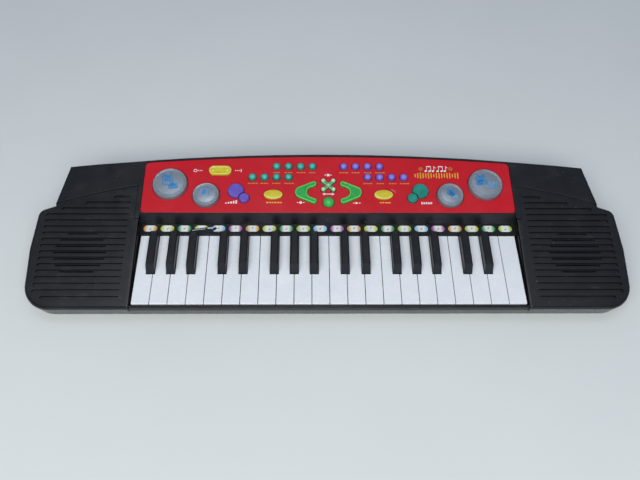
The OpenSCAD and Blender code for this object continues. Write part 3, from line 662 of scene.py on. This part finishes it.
def drum_pad(node):
    """A round pad: flange under the panel, drawn-in wall, rounded lip, raised bead and crowned middle."""
    low, high = slope_box(node)
    x, s = slope_middle(node)
    base, top = low.z / MM, high.z / MM
    flange_r = (high.x - low.x) / 2 / MM
    wall_r = flange_r - 1.4
    shoulder = top - 0.5
    lip = 0.9
    bead_r = wall_r - 2.9
    crown_r, crown_foot, crown_rise = bead_r - 1.1, shoulder - 0.2, 0.62
    profile = [(0, base), (flange_r, base), (flange_r, base + FLANGE_DEPTH), (wall_r, base + FLANGE_DEPTH),
               (wall_r, PANEL_TOP + 0.6)]
    profile += arc((wall_r - 0.75 - lip, shoulder - lip), lip, 8, 84)
    for out, rise in ((0.75, -0.12), (0.4, 0.12), (0, 0.16), (-0.35, -0.02), (-0.6, -0.2)):
        profile.append((bead_r + out, shoulder + rise))
    for k in range(ARC_STEPS, -1, -1):
        share = k / ARC_STEPS
        profile.append((crown_r * k / ARC_STEPS, crown_foot + crown_rise * (1 - share ** 2)))
    bm = bmesh.new()
    add_lathe(bm, profile, x, s)
    finish_cap(bm, node)


OUTLINE_POINTS = 112


def wall_outline(node, height):
    """Where the plane at this height over the slope cuts a node, as evenly spaced (x, s) points."""
    bm = bmesh.new()
    bm.from_mesh(frame["nodes"][node].data)
    bm.transform(TO_SLOPE)
    bmesh.ops.remove_doubles(bm, verts=bm.verts, dist=WELD)
    cut = bmesh.ops.bisect_plane(bm, geom=list(bm.verts) + list(bm.edges) + list(bm.faces),
                                 plane_co=(0, 0, height * MM), plane_no=(0, 0, 1), clear_outer=True)
    edges = {item for item in cut["geom_cut"] if isinstance(item, bmesh.types.BMEdge)}
    first = min((v for e in edges for v in e.verts), key=lambda v: (round(v.co.x, 6), round(v.co.y, 6)))
    loop, here = [], first
    while edges:
        step = next((e for e in here.link_edges if e in edges), None)
        if step is None:
            break
        edges.discard(step)
        loop.append(Vector((here.co.x / MM, here.co.y / MM)))
        here = step.other_vert(here)
    bm.free()
    lengths = [(loop[(i + 1) % len(loop)] - p).length for i, p in enumerate(loop)]
    spacing = sum(lengths) / OUTLINE_POINTS
    points, walked, i = [], 0.0, 0
    for k in range(OUTLINE_POINTS):
        while walked + lengths[i] < k * spacing:
            walked += lengths[i]
            i += 1
        share = (k * spacing - walked) / lengths[i]
        points.append(loop[i].lerp(loop[(i + 1) % len(loop)], share))
    area = sum(p.cross(points[(i + 1) % OUTLINE_POINTS]) for i, p in enumerate(points))
    return points if area > 0 else points[::-1]


def shrunk(points, inset):
    """An outline moved inwards by inset."""
    moved = []
    for i, p in enumerate(points):
        along = (points[(i + 2) % len(points)] - points[i - 2]).normalized()
        moved.append(p + inset * Vector((-along.y, along.x)))
    return moved


def scaled(points, share):
    """An outline drawn smaller about its middle."""
    middle = sum(points, Vector((0, 0))) / len(points)
    return [middle + (p - middle) * share for p in points]


def add_loft(bm, rings):
    """Adds a closed solid through rings of (outline, height, painted highlight), from the lowest up."""
    painted_highlight_layer = bm.verts.layers.float.get("painted_highlight") or bm.verts.layers.float.new("painted_highlight")
    loops = []
    for points, height, painted_highlight in rings:
        loop = [bm.verts.new(SLOPE @ Vector((p[0] * MM, p[1] * MM, height * MM))) for p in points]
        for vertex in loop:
            vertex[painted_highlight_layer] = painted_highlight
        loops.append(loop)
    for lower, upper in zip(loops, loops[1:]):
        for i in range(len(lower)):
            j = (i + 1) % len(lower)
            bm.faces.new((lower[i], lower[j], upper[j], upper[i]))
    bm.faces.new(loops[0][::-1])
    bm.faces.new(loops[-1])


DOME_TURNS = 48
DOME_STEPS = 7
DOME_STEP = 12.5  # degrees


def add_dome(bm, x, s, radius, base, shoulder, top, painted_highlight, spread=0.5):
    """Adds a round button or bead whose crown is painted paler as a highlight, by the amount given, over more of
    it the larger spread is.
    """
    angles = [2 * math.pi * i / DOME_TURNS for i in range(DOME_TURNS)]
    round_outline = [Vector((x + radius * math.cos(a), s + radius * math.sin(a))) for a in angles]
    rings = [(round_outline, base, 0), (round_outline, shoulder, 0)]
    for k in range(1, DOME_STEPS + 1):
        share = math.cos(math.radians(DOME_STEP * k))
        rise = math.sin(math.radians(DOME_STEP * k)) / math.sin(math.radians(DOME_STEP * DOME_STEPS))
        height = shoulder + (top - shoulder) * rise
        rings.append((scaled(round_outline, share), height, painted_highlight * rise ** (1 / spread)))
    add_loft(bm, rings)


def with_flange(outline, base):
    """The lowest rings of a button: its flange under the panel and the foot of its wall."""
    flange = shrunk(outline, -FLANGE_WIDTH)
    return [(flange, base, 0), (flange, base + FLANGE_DEPTH, 0), (outline, base + 1.25, 0)]


def moulded_button(node, steps, narrowed=shrunk):
    """A button with the CAD node's wall and a finely stepped top. Each step is (how far the outline is
    narrowed, height over the panel, painted highlight)."""
    outline = wall_outline(node, PANEL_TOP + 0.5)
    bm = bmesh.new()
    rings = with_flange(outline, slope_box(node)[0].z / MM)
    for amount, height, painted_highlight in steps:
        rings.append((narrowed(outline, amount), PANEL_TOP + height, painted_highlight))
    add_loft(bm, rings)
    return bm


def finish_cap(bm, node):
    """Makes the piece that stands for a pad or button."""
    piece = new_piece(node + "_cap", bm, BODY_OF[node], SLOT_OF[node])
    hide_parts(node)


# The third number of each step is a painted highlight on the rounded rim or crown.
ARROW_STEPS = ((0, 1.2, 0.2), (0.1, 1.75, 0.7), (0.35, 2.15, 1), (0.75, 2.35, 1), (1.15, 2.3, 0.55),
               (1.5, 2.05, 0.1), (1.9, 1.95, 0))
OVAL_STEPS = ((1, 0.9, 0.1), (0.985, 1.3, 0.8), (0.95, 1.6, 1), (0.89, 1.85, 0.7), (0.8, 1.98, 0.1),
              (0.7, 2.02, 0), (0.5, 2.1, 0), (0.3, 2.16, 0.15), (0.1, 2.2, 0.3))
POWER_STEPS = ((0, 1.3, 0), (0.12, 1.75, 0.5), (0.45, 2.1, 0.8), (0.95, 2.25, 0.5), (1.5, 2.2, 0),
               (2.1, 2.0, 0), (2.8, 1.9, 0))


def arrow_button(node):
    """A boomerang with a painted highlight on its rounded rim round a shallow dished face."""
    finish_cap(moulded_button(node, ARROW_STEPS), node)


def oval_button(node):
    """An oval with a painted highlight on its rounded rim and a low crown, closed by scaling its outline."""
    finish_cap(moulded_button(node, OVAL_STEPS, scaled), node)


def power_button(node):
    """A capsule switch cap with a shallow dish and a bead near each end."""
    bm = moulded_button(node, POWER_STEPS)
    x, s = slope_middle(node)
    # The two beads carry a painted highlight on their crowns.
    for side in (-1, 1):
        add_dome(bm, x + 7 * side, s - 0.5, 1.5, PANEL_TOP + 1.5, PANEL_TOP + 2, PANEL_TOP + 2.7, 1)
    finish_cap(bm, node)


def round_button(node):
    """A round flange and a domed cap."""
    low, high = slope_box(node)
    x, s = slope_middle(node)
    base = low.z / MM
    radius = (high.x - low.x) / 2 / MM - 1.2
    bm = bmesh.new()
    add_dome(bm, x, s, radius + 1.2, base, base + 1, base + FLANGE_DEPTH, 0)
    # The cap's crown carries a faint painted highlight.
    add_dome(bm, x, s, radius, base + 0.5, PANEL_TOP + 0.7, high.z / MM, 0.35, 0.8)
    finish_cap(bm, node)


DIAGONAL = 1.414
BAR_HALF_WIDTH = 1.75
# Steps of the crossing bars: (inset, height over the panel, painted highlight).
BAR_STEPS = ((0.2, 1.5, 0.2), (0.6, 1.75, 0.3), (1.1, 1.8, 0.1))


def bar_outline(x, s, reach, lean):
    """A bar with round ends through (x, s), whose ends are reach from it along x and along s."""
    outline = []
    for end, first in ((1, -90), (-1, 90)):
        for k in range(13):
            turn = math.radians(lean + first + 15 * k)
            along = end * reach * math.cos(math.radians(lean)) * DIAGONAL
            up = end * reach * math.sin(math.radians(lean)) * DIAGONAL
            outline.append(Vector((x + along + BAR_HALF_WIDTH * math.cos(turn),
                                   s + up + BAR_HALF_WIDTH * math.sin(turn))))
    return outline


def cross_button(node):
    """Two crossing bars with a bead at each end, a boss in the middle and four dots round it."""
    low, high = slope_box(node)
    x, s = slope_middle(node)
    base, top = low.z / MM, high.z / MM
    reach = (high.x - low.x) / 2 / MM - FLANGE_WIDTH - 2.4
    bm = bmesh.new()
    for side in (-1, 1):
        outline = bar_outline(x, s, reach, 45 * side)
        lift = 0.02 * side  # keeps the faces of the two bars apart
        rings = [(outline, base + lift, 0), (outline, PANEL_TOP + 1.1, 0)]
        for inset, height, painted_highlight in BAR_STEPS:
            rings.append((shrunk(outline, inset), PANEL_TOP + height + lift, painted_highlight))
        add_loft(bm, rings)
        # The end beads, the boss and the dots carry painted highlights on their crowns.
        for other in (-1, 1):
            add_dome(bm, x + side * reach, s + other * reach, 2.35, base + 1.3, PANEL_TOP + 1.2, top, 1, 0.9)
    add_dome(bm, x, s, 1.9, PANEL_TOP + 0.5, PANEL_TOP + 1.5, PANEL_TOP + 2.4, 0.9, 0.4)
    for k in range(4):
        turn = math.radians(90 * k)
        dot_x, dot_s = x + 2.1 * math.cos(turn), s + 2.1 * math.sin(turn)
        add_dome(bm, dot_x, dot_s, 0.45, PANEL_TOP + 0.5, PANEL_TOP + 1.5, PANEL_TOP + 2, 0.9)
    finish_cap(bm, node)


def button_bank(node):
    """Eight small buttons on one moulding, each with a low domed crown."""
    piece = rounded_copy(node, node + "_caps", every_corner(0.25), segments=2)
    low, high = slope_box(node)
    top = high.z / MM
    bm = bmesh.new()
    bm.from_mesh(piece.data)
    for x, s in bank_places(1 if low.x > 0 else -1):
        # Each dome's crown carries a painted highlight.
        add_dome(bm, x, s, 3.05, top - 0.3, top - 0.05, top + 0.75, 1, 0.6)
    bmesh.ops.recalc_face_normals(bm, faces=bm.faces)
    bm.to_mesh(piece.data)
    bm.free()
    smooth(piece)


# ---- Printed marks ----

def ellipse(x, y, a, b, turn, n):
    """n points round an ellipse with half axes a and b, turned by so many degrees."""
    t = math.radians(turn)
    points = []
    for i in range(n):
        u, v = a * math.cos(2 * math.pi * i / n), b * math.sin(2 * math.pi * i / n)
        points.append((x + u * math.cos(t) - v * math.sin(t), y + u * math.sin(t) + v * math.cos(t)))
    return points


class Ink:
    """Thin printed shapes that lie on a surface. Points are millimetres in the surface's own plane."""

    def __init__(self, plane, height, thickness=0.04):
        self.bm = bmesh.new()
        self.plane = plane
        self.low = (height - 0.03) * MM
        self.high = (height + thickness) * MM

    def corners(self, points, z):
        """Vertices at the (x, y) points, z metres over the plane."""
        return [self.bm.verts.new(self.plane @ Vector((x * MM, y * MM, z))) for x, y in points]

    def outline(self, points):
        """A filled shape with a convex outline or one that its middle can see."""
        bottom, top = self.corners(points, self.low), self.corners(points, self.high)
        self.bm.faces.new(bottom)
        self.bm.faces.new(top)
        for i in range(len(points)):
            j = (i + 1) % len(points)
            self.bm.faces.new((bottom[i], bottom[j], top[j], top[i]))

    def stroke(self, a, b, width):
        """A bar with round ends from a to b."""
        angle = math.atan2(b[1] - a[1], b[0] - a[0])
        half = width / 2
        points = []
        for centre, first in ((b, -90), (a, 90)):
            for k in range(7):
                turn = angle + math.radians(first + 30 * k)
                points.append((centre[0] + half * math.cos(turn), centre[1] + half * math.sin(turn)))
        self.outline(points)

    def disc(self, x, y, a, b=None, turn=0, n=20):
        """A filled circle, or an ellipse with half axes a and b."""
        self.outline(ellipse(x, y, a, b or a, turn, n))

    def ring(self, x, y, a, b, width, turn=0):
        """An elliptic ring with outer half axes a and b."""
        n = 28
        loops = [self.corners(ellipse(x, y, a - inset, b - inset, turn, n), z)
                 for z in (self.low, self.high) for inset in (0, width)]
        for first, second in ((0, 1), (1, 3), (3, 2), (2, 0)):
            for i in range(n):
                j = (i + 1) % n
                self.bm.faces.new((loops[first][i], loops[first][j], loops[second][j], loops[second][i]))

    def words(self, x, y, width, height, draw):
        """Stands for a caption: short rounded dashes of uneven length, with no lettering."""
        left = x - width / 2
        while left < x + width / 2 - 0.5:
            long = min(draw.uniform(0.5, 1.9), x + width / 2 - left)
            start = left + height / 2
            self.stroke((start, y), (start + long, y + draw.uniform(-0.1, 0.1)), height)
            left += long + height + 0.35

    def note(self, x, y, size, paired=False):
        """A musical note: head, stem and flag, or two joined by a beam."""
        heads = (0, size * 0.75) if paired else (0,)
        for dx in heads:
            self.disc(x + dx, y, size * 0.26, size * 0.19, 20)
            self.stroke((x + dx + size * 0.2, y), (x + dx + size * 0.2, y + size), size * 0.1)
        end = (x + size * 0.95, y + size) if paired else (x + size * 0.5, y + size * 0.72)
        self.stroke((x + size * 0.2, y + size), end, size * (0.2 if paired else 0.14))

    def print(self, name, body, colour, roughness=0.4, slot="label_print"):
        """Ends the drawing and makes a piece of it."""
        new_piece(name, self.bm, body, slot, printed_ink(name, colour, roughness))


def panel_prints():
    """Generic marks beside the controls: switch symbols, level bars, transport symbols and caption dashes."""
    draw = random.Random(7)
    white_prints()

    amber = Ink(SLOPE, PANEL_TOP)
    for side in (-1, 1):
        for x, s in bank_places(side):
            amber.words(x, s - 6.8, draw.uniform(6, 9.5), 1.2, draw)
    amber.print("print_amber", "root", srgb(214, 128, 52))

    yellow = Ink(SLOPE, PANEL_TOP)
    caption_s, wave_x, wave_s, wave_pitch = 106.2, 84.6, 136.5, 2.6
    yellow.words(-52.2, caption_s, 14.5, 1.5, draw)
    yellow.words(53.2, caption_s, 9, 1.5, draw)
    for k in range(17):
        x = wave_x + wave_pitch * k
        tall = 1.4 + 1.5 * abs(math.sin(k * 0.9)) + draw.uniform(-0.3, 0.3)
        yellow.stroke((x, wave_s - tall), (x, wave_s + tall), 1.15)
    yellow.print("print_yellow", "root", srgb(226, 172, 50))

    olive = Ink(SLOPE, PANEL_TOP)
    ring_s = 144.1
    for x in (90.6, 119.6):
        olive.ring(x, ring_s, 1.9, 1.9, 0.8)
        olive.disc(x, ring_s, 0.55)
    olive.print("print_olive", "root", srgb(168, 140, 44))

    spot = Ink(SLOPE, PANEL_TOP)
    spot.disc(50, 97.3, 1.1, 0.8, 20)
    spot.print("ink_spot", "root", srgb(70, 60, 120), 0.5, "panel_red")
    scuff = Ink(SLOPE, PANEL_TOP, 0.02)
    scuff.stroke((60.2, 121), (64.6, 117.4), 0.35)
    scuff.stroke((61.4, 121.2), (64.2, 119), 0.25)
    scuff.print("panel_scuff", "root", srgb(226, 150, 160), 0.6, "panel_red")


def white_prints():
    """The marks in white ink on the panel."""
    white = Ink(SLOPE, PANEL_TOP)
    switch_s, dot_pitch = 141.6, 1.6
    white.ring(-128.6, switch_s, 1.8, 1.8, 0.65)
    for k in range(3):
        white.disc(-125.4 + dot_pitch * k, switch_s, 0.5)
        white.disc(-89.6 + dot_pitch * k, switch_s + 0.1, 0.5)
    white.stroke((-84.4, 140.3), (-84.4, 143.1), 0.8)

    bar_x, bar_pitch, bar_foot = -97.2, 2.4, 105
    arrow_x, arrow_pitch, arrow_s = 89.2, 2.2, 105.7
    for k in range(5):
        x, top = bar_x + bar_pitch * k, 106.1 + 0.6 * k
        white.outline([(x - 0.75, bar_foot), (x + 0.75, bar_foot), (x + 0.75, top), (x - 0.75, top)])
        x = arrow_x + arrow_pitch * k
        white.outline([(x - 0.8, 104.1), (x + 1.1, arrow_s), (x - 0.8, 107.3)])

    white.outline([(-1.3, 135.5), (1.3, 135.5), (1.3, 138.1), (-1.3, 138.1)])
    white.disc(-26.5, 106.2, 1.4)
    white.outline([(25.7, 104.2), (28.5, arrow_s), (25.7, 107.2)])
    for x, s in ((0, 136.8), (-26.5, 106.2), (26.9, 105.7)):
        for side in (-1, 1):
            white.stroke((x + side * 2.4, s), (x + side * 3.3, s), 0.8)

    change_s = 115.5
    white.stroke((-3.6, change_s), (3.6, change_s), 0.9)
    for side in (-1, 1):
        head = [(side * 5.8, change_s), (side * 3.4, change_s + 1.5), (side * 3.4, change_s - 1.5)]
        white.outline(head[::side])
    x = 95.4
    for paired, step in ((True, 7), (False, 4.6), (True, 7), (False, 4.6)):
        white.note(x, 141.6, 5.2, paired)
        x += step
    white.print("print_white", "root", srgb(238, 236, 236))


def drum_picture(ink, x, y, w, h, turn, sticks):
    """A drum in line art: two hoops, a shell with lacing, and sticks over it."""
    ink.ring(x, y + 0.3 * h, w / 2, h * 0.2, 0.85, turn)
    ink.ring(x, y - 0.12 * h, w / 2, h * 0.2, 0.8, turn)
    ink.disc(x, y + 0.3 * h, w * 0.3, h * 0.1, turn)
    for k in range(-2, 3):
        ink.stroke((x + k * w * 0.21, y + 0.2 * h), (x + (k + 0.5) * w * 0.18, y - 0.24 * h), 0.7)
    for k in range(sticks):
        lean = (k - 0.5) * 0.5
        ink.stroke((x + lean * w * 0.3, y + 0.32 * h), (x + lean * w * 1.3, y + 0.62 * h), 0.85)


def pad_prints():
    """Blue drum pictures on the four pads, a clear one and a paler one on each."""
    for node in PADS:
        x, s = slope_middle(node)
        left = "left" in node
        crown = slope_box(node)[1].z / MM - 0.1
        deep, pale = Ink(SLOPE, crown, 0.09), Ink(SLOPE, crown, 0.07)
        if "large" in node and left:
            drum_picture(deep, x - 2.2, s + 1.2, 11.5, 14, -18, 2)
            pale.disc(x + 3.4, s - 4, 4.4, 3, -10)
            drum_picture(deep, x + 3.6, s - 4.4, 9, 7, 8, 0)
        elif "large" in node:
            drum_picture(deep, x - 4.2, s + 2, 11, 13, 14, 2)
            deep.disc(x - 5, s + 0.8, 3.2, 2.6, 20)
            drum_picture(pale, x + 6.2, s - 3.2, 9, 9, 10, 1)
        elif left:
            drum_picture(pale, x - 0.6, s + 0.6, 9.5, 8.5, -16, 2)
            deep.disc(x - 1.8, s + 1.4, 2.4, 1.7, 20)
        else:
            drum_picture(deep, x + 0.2, s + 0.8, 8.4, 8, -24, 2)
            deep.disc(x + 0.8, s - 0.2, 2.9, 2.1, -30)
            pale.disc(x + 4.2, s - 3, 2.8, 2, -12)
        deep.print(node + "_picture", BODY_OF[node], srgb(58, 138, 206))
        pale.print(node + "_picture_pale", BODY_OF[node], srgb(112, 162, 208))


# ---- Note strip ----

LABEL_COLOURS = (("orange", srgb(214, 158, 62)), ("lemon", srgb(190, 206, 44)), ("green", srgb(52, 156, 84)),
                 ("lime", srgb(160, 202, 66)), ("sky", srgb(128, 196, 236)), ("violet", srgb(168, 86, 168)))
FILM_THICKNESS = 0.12
LABEL_LENGTH, LABEL_DEPTH, LABEL_Y = 12.8, 6.9, 3.3
TORN_LABEL = 3
# Strokes of pale paper along the tear: from, to, width
TEAR = (((-128.2, 1.1), (-122.6, 2.1), 0.7), ((-122.6, 2.1), (-116.4, 2.9), 0.5),
        ((-113.6, 3.6), (-110.4, 3.9), 1.3), ((-107.4, 0.5), (-102, -0.3), 0.6),
        ((-102, -0.3), (-97, -1.2), 0.8))


def film_outline():
    """A rectangle with round corners along the shelf."""
    half, front, rear, corner = 175.6, -2.4, 7.7, 1.2
    outline = []
    for x, y, first in ((half - corner, rear - corner, 0), (corner - half, rear - corner, 90),
                        (corner - half, front + corner, 180), (half - corner, front + corner, 270)):
        for k in range(5):
            a = math.radians(first + 22.5 * k)
            outline.append((x + corner * math.cos(a), y + corner * math.sin(a)))
    return outline


def note_strip():
    """A film on the shelf behind the keys, with a coloured label for each white key, one torn."""
    flat = Matrix.Translation((0, 0, key_top_z + 0.5 * MM))
    film = Ink(flat, 0, FILM_THICKNESS)
    film.outline(film_outline())
    film_finish = case_plastic("strip_film", srgb(20, 21, 24), 0.3, 0.3)
    new_piece("strip_film", film.bm, "root", "label_print", film_finish)

    boxes = [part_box(key) for key in WHITE_KEYS]
    centres = [(low.x + high.x) / 2 / MM for low, high in boxes]
    for first, (name, colour) in enumerate(LABEL_COLOURS):
        labels = Ink(flat, FILM_THICKNESS, 0.05)
        for index in range(first, len(centres), len(LABEL_COLOURS)):
            add_label(labels, centres[index], LABEL_Y, LABEL_LENGTH, LABEL_DEPTH, index == TORN_LABEL)
        ink = label_ink("label_" + name, colour)
        piece = new_piece("labels_" + name, labels.bm, "root", "label_print", ink)
        middle = piece.data.attributes.new("middle", "FLOAT", "POINT")
        for vertex, value in zip(piece.data.vertices, middle.data):
            nearest = min(abs(vertex.co.x / MM - c) for c in centres)
            value.value = min(1.0, max(0.0, 1.25 * (1 - nearest / (LABEL_LENGTH / 2))))

    notes = Ink(flat, 0.17, 0.03)
    for index, x in enumerate(centres):
        if index != TORN_LABEL:
            rise = 0.28 * (index % 7)
            notes.disc(x, 2.4 + rise, 0.9, 0.7, 20, 12)
            notes.stroke((x + 0.75, 2.5 + rise), (x + 0.75, 4.4 + 0.22 * (index % 7)), 0.3)
    notes.print("label_notes", "root", srgb(158, 162, 164))
    torn = Ink(flat, 0.14, 0.35)
    for a, b, width in TEAR:
        torn.stroke(a, b, width)
    torn.print("label_torn_edge", "root", srgb(196, 204, 206), 0.7)
    bare = Ink(flat, 0.16, 0.05)
    bare.disc(-107.4, 3.2, 1.9, 1.5, 25)
    bare.disc(-109.3, 1.5, 1.8, 1.1, 10)
    bare.print("label_bare_patch", "root", srgb(26, 28, 34), 0.6)


def add_label(ink, x, y, length, depth, torn):
    """A thin label with round ends, made of columns so that its colour can fade along it."""
    steps = 16
    straight = length / 2 - depth / 2
    upper, lower = [], []
    for k in range(steps + 1):
        u = -length / 2 * math.cos(math.pi * k / steps)
        past = max(0.0, abs(u) - straight)
        half = math.sqrt(max(0.04, (depth / 2) ** 2 - past ** 2))
        bottom = y - half
        if torn:
            tear = y - 0.6 + 0.17 * (u + length / 2) + 0.35 * (k % 2)
            bottom = max(bottom, min(y + half - 0.3, tear))
        upper.append((x + u, y + half))
        lower.append((x + u, bottom))
    low_front, low_rear = ink.corners(lower, ink.low), ink.corners(upper, ink.low)
    high_front, high_rear = ink.corners(lower, ink.high), ink.corners(upper, ink.high)
    for k in range(steps):
        for a, b, c, d in ((high_front[k], high_front[k + 1], high_rear[k + 1], high_rear[k]),
                           (low_rear[k], low_rear[k + 1], low_front[k + 1], low_front[k]),
                           (low_front[k], low_front[k + 1], high_front[k + 1], high_front[k]),
                           (high_rear[k], high_rear[k + 1], low_rear[k + 1], low_rear[k])):
            ink.bm.faces.new((a, b, c, d))
    for k, turn in ((0, 1), (steps, -1)):
        ink.bm.faces.new((low_front[k], high_front[k], high_rear[k], low_rear[k])[::turn])


# ---- Stage ----

def add_stage():
    """A pale floor, a dim room and four soft lights, the last two seen only in reflections."""
    bpy.ops.mesh.primitive_grid_add(x_subdivisions=8, y_subdivisions=8, size=6, location=(0, 0.4, -0.0002))
    floor = bpy.context.object
    floor.name = "floor"
    dress(floor, floor_cloth())
    world = bpy.data.worlds.new("room")
    bpy.context.scene.world = world
    world.use_nodes = True
    sky = world.node_tree.nodes["Background"]
    sky.inputs["Color"].default_value = srgb(170, 186, 210)
    sky.inputs["Strength"].default_value = 0.42
    key_light = soft_light("key", (-0.15, -0.95, 1.2), (0, -0.1, 0), (1.7, 1.0), 24, srgb(255, 251, 243))
    key_light.visible_glossy = False
    origin = (0, 0, 0)
    soft_light("ceiling", (0, 0.12, 1.7), origin, (1.6, 0.55), 3.5, srgb(240, 246, 255))
    glint = soft_light("glint", (-0.1, 0.14, 1.6), origin, (0.4, 0.25), 4, srgb(255, 255, 255))
    card = soft_light("front_card", (0, -1.6, 0.25), origin, (2.4, 0.5), 4, srgb(214, 222, 255))
    glint.visible_diffuse = card.visible_diffuse = False


def soft_light(name, at, target, size, watts, colour):
    """A rectangular light facing the target."""
    data = bpy.data.lights.new(name, "AREA")
    data.shape = "RECTANGLE"
    data.size, data.size_y = size
    data.energy = watts
    data.color = colour[:3]
    lamp = bpy.data.objects.new(name, data)
    lamp.location = at
    lamp.rotation_euler = (Vector(target) - Vector(at)).to_track_quat("-Z", "Y").to_euler()
    bpy.context.scene.collection.objects.link(lamp)
    return lamp


# ---- Build ----

add_camera()
add_stage()
bpy.context.scene.view_settings.view_transform = "Standard"

for name, cad_node in frame["nodes"].items():
    dress(cad_node, MATERIAL[SLOT_OF[name]])

CASE_CUTS = [side * x * MM for x in (65, 120, 181, 194, 220, 246) for side in (-1, 1)]
rounded_copy("top_case", "top_shell", top_case_width, clamp=False, cuts=CASE_CUTS)
rounded_copy("bottom_case", "bottom_shell", bottom_case_width, clamp=False, cuts=CASE_CUTS)
rounded_copy("battery_door", "battery_cover", every_corner(0.3))
rounded_copy("control_panel", "panel_plate", every_corner(0.15), segments=2)
for key in WHITE_KEYS:
    rounded_copy(key, key + "_cap", every_corner(0.3))
for key in BLACK_KEYS:
    rounded_copy(key, key + "_cap", every_corner(0.5))
for pad in PADS:
    drum_pad(pad)
for bank in ("tone_buttons", "rhythm_buttons"):
    button_bank(bank)
for rocker in ("volume_rocker", "tempo_rocker"):
    rounded_copy(rocker, rocker + "_cap", every_corner(0.4), segments=4)
for side in ("left", "right"):
    arrow_button("arrow_button_" + side)
    oval_button("oval_button_" + side)
power_button("power_switch")
round_button("round_button")
cross_button("cross_button")
panel_prints()
pad_prints()
note_strip()
